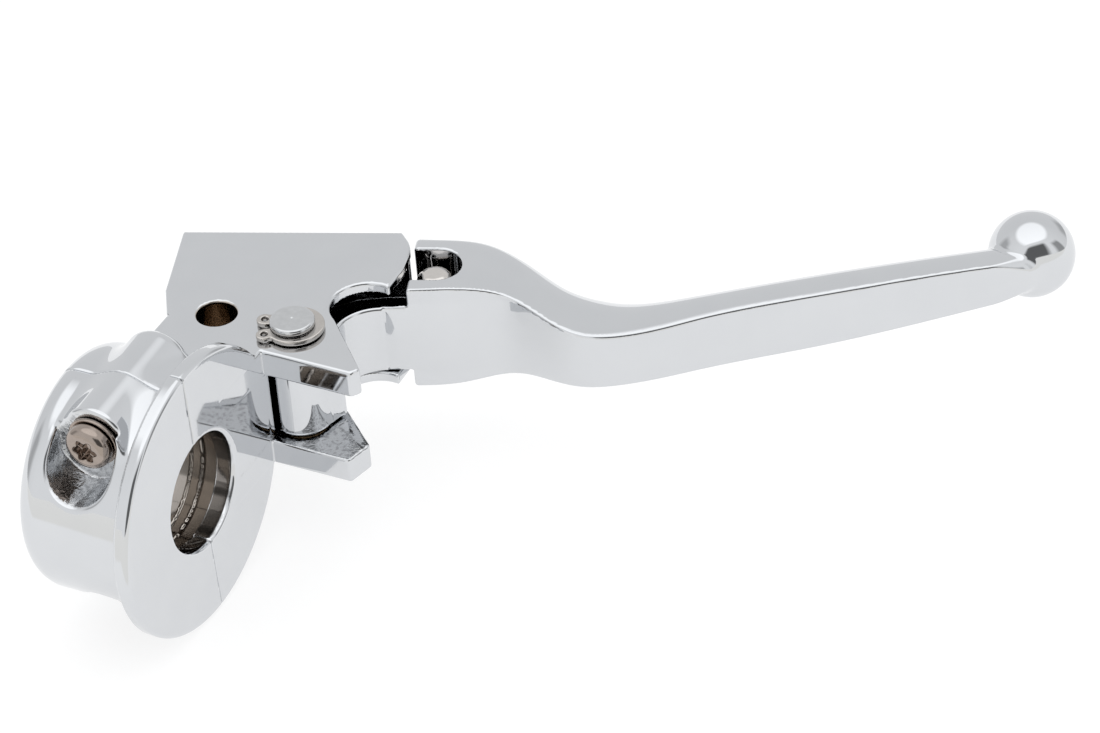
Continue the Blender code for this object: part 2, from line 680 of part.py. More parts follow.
def arm_outline():
    """The thin arm between the hub and the block, seen from above."""
    block_front = along_cable(BLOCK_U + 2 * MM, ARM_FRONT_V)
    block_back = along_cable(BLOCK_U + 2 * MM, CABLE_V - SLOT_HALF_WIDTH + 0.5 * MM)
    rider_side = arc(ARM_HOLLOW_CENTRE, ARM_HOLLOW_RADIUS, 205, 112, 10)
    hub_reach = HUB_RADIUS * 0.97
    hub_y = PIVOT[1] + 1.5 * MM
    return ([(PIVOT[0] + hub_reach, hub_y)] + rider_side + [block_front, block_back] + ARM_BACK
            + [(PIVOT[0] - hub_reach, hub_y)])


def slot_outline():
    """The stadium-shaped slot that the cable lies in, open at the inboard end."""
    outline = [along_cable(BLOCK_U - 8 * MM, CABLE_V - SLOT_HALF_WIDTH)]
    centre = (SLOT_END_U - SLOT_HALF_WIDTH, CABLE_V)
    outline += [along_cable(u, v) for u, v in arc(centre, SLOT_HALF_WIDTH, -90, 90, 12)]
    outline.append(along_cable(BLOCK_U - 8 * MM, CABLE_V + SLOT_HALF_WIDTH))
    return outline


def clutch_lever():
    """Hub, arm, block, blade and ball end, forged in one piece."""
    lever = add_object("clutch_lever", lever_loft(), CHROME)
    combine(lever, prism("lever_arm", arm_outline(), ARM_BOTTOM_Z, ARM_TOP_Z), "UNION")
    hub = cylinder("lever_hub", HUB_RADIUS, ARM_BOTTOM_Z, ARM_TOP_Z, 48)
    hub.location = (*PIVOT, 0)
    combine(lever, hub, "UNION")
    ball_mesh = bpy.data.meshes.new("lever_ball")
    bm = bmesh.new()
    bmesh.ops.create_uvsphere(bm, u_segments=28, v_segments=16, radius=BALL_RADIUS,
                              matrix=Matrix.Translation(BALL_CENTRE))
    bm.to_mesh(ball_mesh)
    bm.free()
    combine(lever, add_object("lever_ball", ball_mesh), "UNION")
    slot = prism("cable_slot", slot_outline(), SLOT_FLOOR_Z, CUT_REACH)
    combine(lever, slot, "DIFFERENCE")
    bore_radius = PIN_RADIUS + 2 * FIT_GAP + BUSHING_WALL
    cut_vertical_hole(lever, "hub_bore", PIVOT, bore_radius)
    anchor_centre = along_cable(ANCHOR_U, CABLE_V)
    cut_vertical_hole(lever, "anchor_hole", anchor_centre, ANCHOR_STEM_RADIUS + FIT_GAP, 10 * MM)
    move_origin(lever, (*PIVOT, LEVER_Z))
    return lever


def anchor_pin():
    """The swivelling barrel that the cable's end hooks into."""
    shoulder = SLOT_FLOOR_Z + FIT_GAP
    profile = [(0, ANCHOR_TOP_Z)]
    crown_centre = (ANCHOR_RADIUS - ANCHOR_CROWN, ANCHOR_TOP_Z - ANCHOR_CROWN)
    profile += arc(crown_centre, ANCHOR_CROWN, 90, 0, 4)
    profile += [(ANCHOR_RADIUS, shoulder), (ANCHOR_STEM_RADIUS, shoulder),
                (ANCHOR_STEM_RADIUS, ANCHOR_BOTTOM_Z), (0, ANCHOR_BOTTOM_Z)]
    pin = turned("anchor_pin", profile, 32, NICKEL)
    pin.location = (*along_cable(ANCHOR_U, CABLE_V), 0)
    wire = cylinder("anchor_wire_hole", ANCHOR_WIRE_HOLE, -10 * MM, 10 * MM, 16)
    point_along_cable(wire, ANCHOR_U, CABLE_V, CABLE_Z)
    combine(pin, wire, "DIFFERENCE")
    return pin


perch_bracket()
clamp_cap()
clamp_screw("upper_clamp_screw", UPPER_SCREW_Z, UPPER_SEAT_Y, UPPER_SCREW_REACH)
clamp_screw("lower_clamp_screw", LOWER_SCREW_Z, LOWER_SEAT_Y, LOWER_SCREW_REACH)
washer("upper_clamp_washer", UPPER_SCREW_Z, UPPER_SEAT_Y)
washer("lower_clamp_washer", LOWER_SCREW_Z, LOWER_SEAT_Y)
pivot_pin()
retaining_ring()
pivot_bushing()
clutch_lever()
anchor_pin()
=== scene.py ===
"""Looks for the clutch lever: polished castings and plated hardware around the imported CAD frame.

Every visible shape is a signed distance field in millimetres, in the CAD's own frame.
surface_mesh turns a field into a closed mesh whose points lie on that surface and whose normals
follow it, so fillets, rounded edges and flats meet as smoothly as they do on polished metal.
"""
import json
import math

import bpy
import numpy as np
from mathutils import Matrix, Vector


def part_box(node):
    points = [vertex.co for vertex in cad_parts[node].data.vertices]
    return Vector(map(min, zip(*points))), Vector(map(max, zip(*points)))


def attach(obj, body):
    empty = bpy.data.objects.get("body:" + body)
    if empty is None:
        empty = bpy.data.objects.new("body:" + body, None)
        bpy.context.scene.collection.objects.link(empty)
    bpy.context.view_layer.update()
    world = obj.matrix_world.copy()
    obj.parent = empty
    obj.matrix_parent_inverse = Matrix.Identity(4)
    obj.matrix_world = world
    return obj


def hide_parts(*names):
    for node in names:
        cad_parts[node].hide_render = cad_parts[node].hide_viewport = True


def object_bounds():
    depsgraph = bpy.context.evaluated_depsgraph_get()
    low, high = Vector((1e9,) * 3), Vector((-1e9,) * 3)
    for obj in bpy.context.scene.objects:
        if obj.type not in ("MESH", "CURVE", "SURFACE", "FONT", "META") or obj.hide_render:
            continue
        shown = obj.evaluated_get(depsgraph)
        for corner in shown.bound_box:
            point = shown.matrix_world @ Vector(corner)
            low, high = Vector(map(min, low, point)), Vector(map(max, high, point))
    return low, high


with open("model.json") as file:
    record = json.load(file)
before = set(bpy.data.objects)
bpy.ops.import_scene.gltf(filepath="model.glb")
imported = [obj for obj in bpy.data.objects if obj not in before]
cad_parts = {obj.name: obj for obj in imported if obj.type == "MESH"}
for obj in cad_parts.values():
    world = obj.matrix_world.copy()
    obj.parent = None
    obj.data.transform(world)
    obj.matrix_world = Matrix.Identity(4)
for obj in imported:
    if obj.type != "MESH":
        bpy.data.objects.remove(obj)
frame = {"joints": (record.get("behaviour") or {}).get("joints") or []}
CAD_BOX = [list(corner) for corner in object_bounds()]

# ---------------------------------------------------------------- sizes, in millimetres

MM = 0.001


def node_box(name):
    """Lowest and highest corner of a CAD node, in millimetres."""
    low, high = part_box(name)
    return np.array(low) / MM, np.array(high) / MM


def joint_place(name):
    """A CAD joint's position in millimetres."""
    return next(np.array(j["pos_m"]) / MM for j in frame["joints"] if j["name"] == name)


PIN_LOW, PIN_HIGH = node_box("pivot_pin")
LEVER_TOP_Z = node_box("clutch_lever")[1][2]
ANCHOR_LOW, ANCHOR_HIGH = node_box("anchor_pin")
RING_LOW, RING_HIGH = node_box("retaining_ring")
PIVOT = joint_place("lever_pivot")
ANCHOR = joint_place("anchor_swivel")

# Handlebar clamp, turned about the X axis
BAR_RADIUS = 12.7
BORE_CHAMFER = 0.6
BORE_LAND = 4.6
CLAMP_RADIUS = 26.0
CLAMP_LENGTH = -node_box("clamp_cap")[0][0]
CLAMP_END_ROUND = 3.2
CLAMP_END_SLOPE = 4.5

# The bore's relieved middle: each step's depth and radius
RELIEF_STEPS = [(8.2, 13.9), (10.6, 13.45), (CLAMP_LENGTH - BORE_LAND, 12.95)]
RELIEF_RADIUS = RELIEF_STEPS[0][1]
BORE_ROUND = 0.3
MOUTH_FILLET = 0.5
RELIEF_ROUND = 0.2

# How bare the bore's plating is; painted dark reflections across its lands, each with its angle and half
# width in degrees and strength; and painted shade over its relief's upper side
LAND_BARE = 0.1
RELIEF_BARE = 0.65              # added to LAND_BARE in the relief
LAND_PAINTED_REFLECTIONS = [(-79, 5, 0.85), (-66, 8, 0.45), (-38, 4, 0.8), (8, 14, 0.7)]
RELIEF_PAINTED_SHADE = 0.5
RELIEF_PAINTED_SHADE_START, RELIEF_PAINTED_SHADE_END = -34, -30

# The clamp's flange, and the plane that its halves part along
FLANGE_RADIUS = 30.9
FLANGE_THICKNESS = 3.4
FLANGE_ROUND = 1.2
FLANGE_FILLET = 2.0
CLAMP_LEAN = math.radians(3.0)
PARTING_Y = -0.4
PARTING_GAP = 0.12
PARTING_ROUND = 0.22

# Clamp screws
SCREW_X = -14.6
UPPER_SCREW_Z = 21.2
LOWER_SCREW_Z = -20.2
UPPER_SEAT_Y = -13.3
LOWER_SEAT_Y = -9.0
SCREW_RADIUS = 3.1
SCREW_HOLE_RADIUS = 3.5
SCREW_HEAD_RADIUS = 5.1
SCREW_HEAD_HEIGHT = 3.0
SCREW_CROWN = 1.9
SOCKET_RADIUS = 2.4
SOCKET_LOBE = 0.4
SOCKET_DEPTH = 1.9
THREAD_PITCH = 1.0
THREAD_DEPTH = 0.3
THREAD_SLOPE = 0.85             # makes a threaded or lobed field no steeper than a distance
LOBE_SLOPE = 0.8
WASHER_RADIUS = 5.6
WASHER_THICKNESS = 0.9
UPPER_SCREW_REACH = 11.0
LOWER_SCREW_REACH = 8.0
BOSS_RADIUS = 7.3
BOSS_FRONT_Y = -15.5
BOSS_BACK_Y = 15.4
BOSS_FILLET = 2.2
BOSS_FRONT_ROUND = 0.6
BOSS_BACK_ROUND = 3.2
SCREW_HOLE_ROUND = 0.2
POCKET_X = -16.0
POCKET_RADIUS = 7.4
POCKET_LOW_Z = 18.0
LOWER_POCKET_RADIUS = 5.9
FIT_GAP = 0.3

# Lever bracket
EAR_TOP_Z = 17.0
EAR_BOTTOM_Z = -12.3
GAP_TOP_Z = 10.8
GAP_BOTTOM_Z = -6.4
THIN_TOP_Z = 14.5
THIN_BOTTOM_Z = -9.0
EAR_FRONT_Y = 27.4
EAR_BEVEL = 0.45
BEVEL_ANGLE = math.radians(42.0)
SCALLOP_CENTRE = (12.9, 49.6)
SCALLOP_RADIUS = 7.55
SCALLOP_ROUND = 0.35
PLATE_ROUND = 0.6
CLAMP_FILLET = 0.8
MIRROR_HOLE = (-15.0, 35.7)
MIRROR_HOLE_RADIUS = 4.3
HUB_RADIUS = 6.6
HUB_POCKET_RADIUS = 7.6
GAP_FRONT_X = 0.1

# The cable runs at this angle to X, this far from the origin, and at this height
CABLE_ANGLE = math.radians(20.5)
CABLE_V = 59.35
CABLE_Z = 2.2
CABLE_INLET_RADIUS = 4.9
CHANNEL_HALF_WIDTH = 5.2
CHANNEL_START_U = 4.0

# Pivot hardware
PIN_RADIUS = 4.76
PIN_HEAD_RADIUS = 6.6
RING_GROOVE_RADIUS = 4.1
RING_RADIUS = 6.7
RING_EYE_RADIUS = 1.75
RING_EYE_HOLE = 0.8
RING_GAP_HALF_WIDTH = 0.75
RING_SHIFT = 0.45               # the band is widest opposite its gap
RING_EYE_DISTANCE = 6.4
RING_GAP_ANGLE = math.radians(207.0)
RING_EYE_ANGLE = math.radians(24.0)
BUSHING_WALL = 0.5
PIN_DIMPLE_RADIUS = 0.45
PIN_DIMPLE_RISE = 0.3            # its centre, above the pin's end

# Lever
ARM_TOP_Z = 10.5
ARM_BOTTOM_Z = -6.1
BLOCK_U = 36.5
ARM_HOLLOW_CENTRE = (15.6, 48.6)
ARM_HOLLOW_RADIUS = 9.2
ARM_FRONT_X = 12.15
SLOT_END_U = 47.4
SLOT_HALF_WIDTH = 5.45
SLOT_FLOOR_Z = -6.5
ANCHOR_RADIUS = 3.9
ANCHOR_STEM_RADIUS = 3.0
ANCHOR_WIRE_HOLE = 1.4
BALL_RADIUS = 9.35
FACE_CROWN = 0.2
FACE_EDGE = 0.42                # rounding round the rider's face
TIP_EDGE = 2.6                  # and what is added to it near the ball
BALL_CENTRE = (127.1, 134.5, 2.1)
LEVER_Z = PIVOT[2]

# Stations along the lever: the rider's-side point, the far-side point, half height, how
# square the section is (2 is an ellipse), and how far its crest is behind the rider's face
LEVER_STATIONS = [
    ((16.9, 59.2), (9.8, 78.1), 12.7, 16.0, 0),
    ((20.4, 60.7), (14.8, 80.0), 12.7, 14.0, 0),
    ((27.3, 64.2), (24.8, 83.9), 12.2, 7.5, 0),
    ((34.8, 67.6), (33.9, 84.3), 10.5, 3.8, 1.0),
    ((44.7, 66.4), (43.4, 82.6), 8.4, 2.6, 2.2),
    ((54.6, 65.3), (50.1, 83.3), 7.1, 2.3, 3.0),
    ((62.1, 68.6), (55.3, 84.1), 6.8, 2.2, 3.2),
    ((75.2, 79.8), (67.2, 90.0), 7.0, 2.2, 3.2),
    ((95.0, 96.1), (87.5, 105.4), 7.0, 2.2, 3.2),
    ((115.2, 113.1), (108.3, 121.3), 6.0, 2.2, 3.0),
    ((130.8, 126.1), (124.4, 133.9), 4.6, 2.2, 2.6),
]
FRONT_SPREAD = 8.5              # half width of the curve that falls from the crest to the face


# ---------------------------------------------------------------- combining fields

def rounded_union(a, b, radius):
    """Both shapes, with a fillet where they meet."""
    near = np.hypot(np.maximum(radius - a, 0), np.maximum(radius - b, 0))
    return np.maximum(radius, np.minimum(a, b)) - near


def rounded_common(a, b, radius):
    """What two shapes share, with the edge between them rounded."""
    near = np.hypot(np.maximum(radius + a, 0), np.maximum(radius + b, 0))
    return np.minimum(-radius, np.maximum(a, b)) + near


def rounded_cut(a, b, radius):
    """Shape a without shape b, with the edge between them rounded."""
    return rounded_common(a, -b, radius)


def slab(value, low, high):
    """Negative where a value lies between low and high."""
    return abs(value - (low + high) / 2) - (high - low) / 2


def disc(x, y, centre, radius):
    """Distance outside a circle, or outside a cylinder along the axis that is left out."""
    return np.hypot(x - centre[0], y - centre[1]) - radius


def right_of(x, y, start, end):
    """Distance to the right of the line from start to end; negative on its left."""
    length = math.hypot(end[0] - start[0], end[1] - start[1])
    return ((x - start[0]) * (end[1] - start[1]) - (y - start[1]) * (end[0] - start[0])) / length


def corner_common(a, b, radius, cosine):
    """rounded_common for two flat sides, given the cosine between their outward normals."""
    if radius == 0 or cosine > 0.999:
        return np.maximum(a, b)
    u, v = a + radius, b + radius
    reach = np.sqrt(np.maximum(u * u + v * v - 2 * u * v * cosine, 0))
    reach = reach / math.sqrt(1 - cosine * cosine)
    return np.where((u > cosine * v) & (v > cosine * u), reach - radius, np.maximum(a, b))


def convex(x, y, corners):
    """A convex outline, anticlockwise.  Each corner is (x, y, radius); the first stays sharp."""
    inside = right_of(x, y, corners[0], corners[1])
    before = Vector(corners[1][:2]) - Vector(corners[0][:2])
    for start, end in zip(corners[1:], corners[2:] + corners[:1]):
        along = Vector(end[:2]) - Vector(start[:2])
        cosine = before.normalized().dot(along.normalized())
        inside = corner_common(inside, right_of(x, y, start, end), start[2], cosine)
        before = along
    return inside


def lean(y, z):
    """YZ in the frame that the clamp's parting plane and screws are square to."""
    cosine, sine = math.cos(CLAMP_LEAN), math.sin(CLAMP_LEAN)
    return y * cosine + z * sine, z * cosine - y * sine


def cable_frame(x, y):
    """Distance along the cable and distance across it."""
    cosine, sine = math.cos(CABLE_ANGLE), math.sin(CABLE_ANGLE)
    return x * cosine + y * sine, y * cosine - x * sine


def along_cable(u, v):
    """XY of a point given in the cable's frame."""
    cosine, sine = math.cos(CABLE_ANGLE), math.sin(CABLE_ANGLE)
    return (u * cosine - v * sine, u * sine + v * cosine)


# ---------------------------------------------------------------- from field to mesh

BLOCK = 6                       # grid cells along a block that is sampled or skipped whole
BATCH = 60000                   # points in one call of a field
CORNER_PULL = 0.05              # how strongly a cell's point is held to its crossings' middle
NORMAL_STEP = 0.12              # millimetres along each axis to the samples of a shading normal
TETRAHEDRON = np.array([(1, -1, -1), (-1, -1, 1), (-1, 1, -1), (1, 1, 1)], float)


def sample(field, points):
    """A field's values at many points, a batch at a time."""
    batches = np.array_split(points, len(points) // BATCH + 1)
    return np.concatenate([field(*batch.T) for batch in batches])


def value_and_slope(field, points, step=0.01):
    """A field and its gradient, from four samples around each point."""
    values = [sample(field, points + step * corner) for corner in TETRAHEDRON]
    slope = sum(value[:, None] * corner for value, corner in zip(values, TETRAHEDRON))
    return sum(values) / 4, slope / (4 * step)


def sample_grid(field, low, counts, cell):
    """A field on a grid, sampled only in the blocks that its surface can pass through."""
    blocks = np.stack(np.meshgrid(*[np.arange(n) for n in counts], indexing="ij"), -1)
    centres = low + (blocks.reshape(-1, 3) + 0.5) * BLOCK * cell
    coarse = sample(field, centres)
    grid = coarse.reshape(counts)
    for axis in range(3):
        grid = np.repeat(grid, BLOCK, axis)
    near = abs(coarse) < 1.1 * BLOCK * cell
    inner = np.stack(np.meshgrid(*[np.arange(BLOCK)] * 3, indexing="ij"), -1).reshape(-1, 3)
    nodes = (blocks.reshape(-1, 3)[near][:, None] * BLOCK + inner).reshape(-1, 3)
    grid[tuple(nodes.T)] = sample(field, low + nodes * cell)
    return grid


def crossing_quads(grid, low, cell):
    """Where grid edges cross the surface, and the four grid cells round each such edge."""
    points, cells = [], []
    inside = grid < 0
    for axis in range(3):
        step = np.zeros(3, int)
        step[axis] = 1
        ends = [np.roll(inside, -1, axis), inside]
        index = np.argwhere(ends[0] != ends[1])
        index = index[(index[:, axis] < grid.shape[axis] - 1) & (index > 0).all(1)]
        start = grid[tuple(index.T)]
        share = start / (start - grid[tuple((index + step).T)])
        points.append(low + (index + share[:, None] * step) * cell)
        across, up = np.roll(step, 1), np.roll(step, 2)
        around = np.stack([index - across - up, index - up, index, index - across], 1)
        outward = start < 0
        around[~outward] = around[~outward][:, ::-1]
        cells.append(around)
    return np.concatenate(points), np.concatenate(cells)


def fit_corners(points, slopes, owner, count, middle, cell):
    """For each cell, the point nearest to all the surface planes that cross its edges."""
    normal = slopes / np.linalg.norm(slopes, axis=1)[:, None]
    offset = (normal * (points - middle[owner])).sum(1)

    def total(weights):
        return np.bincount(owner, weights, count)

    number = total(np.ones(len(owner)))
    mass = np.stack([total(points[:, i] - middle[owner, i]) / number for i in range(3)], 1)
    matrix = np.empty((count, 3, 3))
    right = np.empty((count, 3))
    for i in range(3):
        right[:, i] = total(normal[:, i] * offset) + CORNER_PULL * mass[:, i]
        for j in range(3):
            matrix[:, i, j] = total(normal[:, i] * normal[:, j]) + CORNER_PULL * (i == j)
    corner = np.linalg.solve(matrix, right[:, :, None])[:, :, 0]
    return middle + np.clip(corner, -cell / 2, cell / 2)


def surface_mesh(name, field, box, cell):
    """The closed quad mesh of the surface where a field is zero, shaded by the field's slope."""
    low = np.array(box[0], float) - 2.5 * cell
    counts = np.ceil((np.array(box[1]) - low + 3 * cell) / (BLOCK * cell)).astype(int)
    grid = sample_grid(field, low, counts, cell)
    points, quads = crossing_quads(grid, low, cell)
    numbers, faces = np.unique(np.ravel_multi_index(quads.reshape(-1, 3).T, grid.shape),
                               return_inverse=True)
    middle = low + (np.stack(np.unravel_index(numbers, grid.shape), 1) + 0.5) * cell
    slopes = np.repeat(value_and_slope(field, points)[1], 4, 0)
    vertices = fit_corners(np.repeat(points, 4, 0), slopes, faces, len(numbers), middle, cell)
    for _ in range(3):
        value, slope = value_and_slope(field, vertices)
        move = slope * (value / (slope ** 2).sum(1))[:, None]
        vertices = vertices - np.clip(move, -cell / 2, cell / 2)
    slope = value_and_slope(field, vertices, NORMAL_STEP)[1]
    normals = slope / np.linalg.norm(slope, axis=1)[:, None]
    mesh = bpy.data.meshes.new(name)
    count = len(quads)
    mesh.vertices.add(len(vertices))
    mesh.vertices.foreach_set("co", (vertices * MM).ravel())
    mesh.loops.add(4 * count)
    mesh.loops.foreach_set("vertex_index", faces.ravel())
    mesh.polygons.add(count)
    mesh.polygons.foreach_set("loop_start", np.arange(count) * 4)
    mesh.update(calc_edges=True)
    mesh.shade_smooth()
    mesh.normals_split_custom_set_from_vertices(normals)
    return mesh, vertices


def mark(mesh, name, values):
    """Store a 0 to 1 value at each point of a mesh, for its material to read."""
    attribute = mesh.attributes.new(name, "FLOAT", "POINT")
    attribute.data.foreach_set("value", np.clip(values, 0, 1).astype(np.float32))


def ramp(value, start, end):
    """0 before start, 1 after end, and smooth between them."""
    t = np.clip((value - start) / (end - start), 0, 1)
    return t * t * (3 - 2 * t)


def piece(name, field, box, cell, material, body, replaces, marks=None):
    """Mesh a field and hand it to the frame in place of its CAD node."""
    mesh, vertices = surface_mesh(name, field, box, cell)
    for key, values in (marks(*vertices.T) if marks else {}).items():
        mark(mesh, key, values)
    mesh.materials.append(material)
    obj = bpy.data.objects.new(name, mesh)
    bpy.context.scene.collection.objects.link(obj)
    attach(obj, body)
    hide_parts(replaces)


# ---------------------------------------------------------------- handlebar clamp

def clamp_body(x, y, z):
    """Barrel and flange in one turned shape, with a fillet between them."""
    radius = np.hypot(y, z)
    flange = rounded_common(radius - FLANGE_RADIUS, -FLANGE_THICKNESS - x, FLANGE_ROUND / 2)
    body = rounded_union(radius - CLAMP_RADIUS, flange, FLANGE_FILLET)
    body = rounded_common(body, x, FLANGE_ROUND)
    squash = CLAMP_END_ROUND / CLAMP_END_SLOPE
    return rounded_common(body, (-CLAMP_LENGTH - x) * squash, CLAMP_END_ROUND)


def bore_depth(x):
    """How far inside the bore's nearer end a place is, and at least -1 outside."""
    return np.maximum(np.minimum(-x, x + CLAMP_LENGTH), -1)


def bar_bore(x, y, z):
    """The handlebar's bore: bevelled mouths, a land at each end and a stepped, relieved middle."""
    radius = np.hypot(y, z)
    mouth = (radius - BAR_RADIUS - BORE_CHAMFER + bore_depth(x)) * math.sqrt(0.5)
    bore = rounded_union(radius - BAR_RADIUS, mouth, MOUTH_FILLET)
    for depth, step_radius in RELIEF_STEPS:
        span = slab(x, -depth, -BORE_LAND)
        step = rounded_common(radius - step_radius, span, RELIEF_ROUND)
        bore = rounded_union(bore, step, RELIEF_ROUND)
    return bore


def screw_boss(x, y, z):
    """The round boss that the upper clamp screw runs through."""
    y, z = lean(y, z)
    boss = disc(x, z, (SCREW_X, UPPER_SCREW_Z), BOSS_RADIUS)
    boss = rounded_common(boss, y - BOSS_BACK_Y, BOSS_BACK_ROUND)
    return rounded_common(boss, BOSS_FRONT_Y - y, BOSS_FRONT_ROUND)


def screw_hole(x, y, z, screw_z, low_y, high_y):
    """A clearance hole for a clamp screw, between two depths."""
    y, z = lean(y, z)
    return np.maximum(disc(x, z, (SCREW_X, screw_z), SCREW_HOLE_RADIUS), slab(y, low_y, high_y))


def upper_pocket(x, y, z):
    """An oblong pocket, open towards the rider and upwards."""
    y, z = lean(y, z)
    walls = np.hypot(x - POCKET_X, np.minimum(z - POCKET_LOW_Z, 0)) - POCKET_RADIUS
    return rounded_common(walls, y - UPPER_SEAT_Y, 0.6)


def lower_pocket(x, y, z):
    """A round pocket for the lower screw's head."""
    y, z = lean(y, z)
    walls = disc(x, z, (SCREW_X, LOWER_SCREW_Z), LOWER_POCKET_RADIUS)
    return rounded_common(walls, y - LOWER_SEAT_Y, 0.6)


def clamp_cap(x, y, z):
    """The rider's half of the handlebar clamp."""
    body = rounded_union(clamp_body(x, y, z), screw_boss(x, y, z), BOSS_FILLET)
    body = rounded_cut(body, bar_bore(x, y, z), BORE_ROUND)
    body = rounded_common(body, lean(y, z)[0] - PARTING_Y + PARTING_GAP / 2, PARTING_ROUND)
    body = rounded_cut(body, upper_pocket(x, y, z), 0.9)
    body = rounded_cut(body, lower_pocket(x, y, z), 0.8)
    for screw_z in (UPPER_SCREW_Z, LOWER_SCREW_Z):
        body = rounded_cut(body, screw_hole(x, y, z, screw_z, -40, 10), SCREW_HOLE_ROUND)
    return body


def bore_wall(x, y, z):
    """Two 0 to 1 values: on the bore's walls past its bevelled mouths, and in its relief."""
    depth = bore_depth(x)
    wall = ramp(np.hypot(y, z), RELIEF_RADIUS + 0.6, RELIEF_RADIUS + 0.2)
    wall = wall * ramp(depth, BORE_CHAMFER, BORE_CHAMFER + 0.4)
    return wall, ramp(depth, BORE_LAND - 0.1, BORE_LAND + 0.2)


def bore_mark(x, y, z):
    """How thin the plating is in the bar's bore: least on the lands, most in the relief."""
    wall, relief = bore_wall(x, y, z)
    return wall * (LAND_BARE + RELIEF_BARE * relief)


def bore_painted_dark(x, y, z):
    """Painted dark reflections in the bore, as bands across its lands, and painted shade over the upper
    side of its relief.
    """
    wall, relief = bore_wall(x, y, z)
    angle = np.degrees(np.arctan2(z, y))
    bands = 0 * x
    for middle, half_width, strength in LAND_PAINTED_REFLECTIONS:
        band = strength * ramp(abs(angle - middle), half_width + 2, half_width - 2)
        bands = np.maximum(bands, band)
    upper = RELIEF_PAINTED_SHADE * ramp(angle, RELIEF_PAINTED_SHADE_START, RELIEF_PAINTED_SHADE_END)
    return (bands * (1 - relief) + upper * relief) * wall


def on_wall(cut, start, end):
    """1 on a cut's walls and 0 beside them; start and end are depths into the cut."""
    return ramp(-cut, start, end)


def cap_marks(x, y, z):
    """Bare metal in the bore, as-cast skin on the pocket's wall and floor, and painted dark reflections and
    shade in the bore.
    """
    pockets = np.minimum(upper_pocket(x, y, z), lower_pocket(x, y, z))
    cast = on_wall(pockets, -0.15, -0.03)
    return {"bare": bore_mark(x, y, z), "cast": cast, "painted_shade": bore_painted_dark(x, y, z)}


# ---------------------------------------------------------------- lever bracket

def plate_plan(x, y):
    """The bracket's plates, behind the ears, seen from above."""
    left_end = along_cable(-13.8, 47.0)
    back_left = along_cable(-13.3, 67.87)
    back_right = along_cable(33.9, 67.87)
    plate = convex(x, y, [
        (4, 40, 0), (14.4, 55, 0), (14.2, 64.0, 12), (13.3, 68.0, 10), (11.8, 72.2, 8),
        (*back_right, 0.5), (*back_left, 0.5), (*left_end, 0.5), (-25.0, 32.0, 1), (-20, 30, 0)])
    return rounded_cut(plate, disc(x, y, SCALLOP_CENTRE, SCALLOP_RADIUS), SCALLOP_ROUND)


def ear_plan(x, y, z):
    """The two ears seen from above; the lower one has a longer cut across its corner."""
    upper = convex(x, y, [
        (-12, 50.2, 0), (-12, EAR_FRONT_Y, 0), (20.9, EAR_FRONT_Y, 0.9), (22.3, 29.5, 0.9), (2, 50.2, 0)])
    lower = convex(x, y, [
        (-12, 50.2, 0), (-12, EAR_FRONT_Y, 0), (18.5, EAR_FRONT_Y, 0.9), (20.0, 33.7, 0.9), (1.3, 50.2, 0)])
    scallop = disc(x, y, SCALLOP_CENTRE, SCALLOP_RADIUS)
    return rounded_cut(np.where(z < 0, lower, upper), scallop, SCALLOP_ROUND)


def web_plan(x, y):
    """The block of metal between the ears, flush with the clamp's flange."""
    return convex(x, y, [(-24.6, 31.2, 0), (-24.6, 10, 0), (0, 10, 0), (0, 36.2, 0), (-20, 36.2, 0)])


def lever_gap_plan(x, y):
    """The space for the lever: a round pocket for its hub, then room for its arm."""
    u, v = cable_frame(x, y)
    hub_left = PIVOT[0] - HUB_POCKET_RADIUS
    hub = disc(x, y, PIVOT, HUB_POCKET_RADIUS)
    middle = np.maximum(hub_left - x, PIVOT[1] - y)
    start = (hub_left, 46.0)
    corner = along_cable(CHANNEL_START_U, CABLE_V - CHANNEL_HALF_WIDTH)
    rear = rounded_common(CHANNEL_START_U - u, right_of(x, y, corner, start), 0.5)
    space = rounded_union(np.minimum(hub, middle), rear, 0.5)
    return rounded_common(space, v - CABLE_V - CHANNEL_HALF_WIDTH, 0.8)


def behind_pivot(x, y):
    """Negative behind the line where both plates step to a thinner section."""
    step = np.maximum(45.5 - y, right_of(x, y, (7.8, 45.5), (12.5, 40.5)))
    return rounded_union(step, np.maximum(40.5 - y, 12.0 - x), 0.6)


def lever_gap(x, y, z):
    """The lever's space between the plates, taller where the top one is thinner."""
    plan = lever_gap_plan(x, y)
    gap = rounded_common(plan, slab(z, GAP_BOTTOM_Z, GAP_TOP_Z), 0.5)
    hollow = rounded_common(np.maximum(plan, behind_pivot(x, y)), slab(z, 0, THIN_TOP_Z), 0.5)
    return np.minimum(gap, hollow)


def ears(x, y, z, height):
    """Both ears, with a bevel along the top one's front edge and the space between them cut out."""
    rise, behind = z - EAR_TOP_Z, y - EAR_FRONT_Y - EAR_BEVEL
    above = rise * math.cos(BEVEL_ANGLE) - behind * math.sin(BEVEL_ANGLE)
    solid = rounded_common(ear_plan(x, y, z), height, PLATE_ROUND)
    return rounded_common(solid, above, 0.3)


def front_gap(x, z):
    """The space between the ears, from the flange's face outwards."""
    return np.maximum(GAP_FRONT_X - x, slab(z, GAP_BOTTOM_Z, GAP_TOP_Z))


def cable_inlet(x, y, z):
    """The bore that the cable enters by."""
    u, v = cable_frame(x, y)
    return np.maximum(np.hypot(v - CABLE_V, z - CABLE_Z) - CABLE_INLET_RADIUS, u - CHANNEL_START_U - 2)


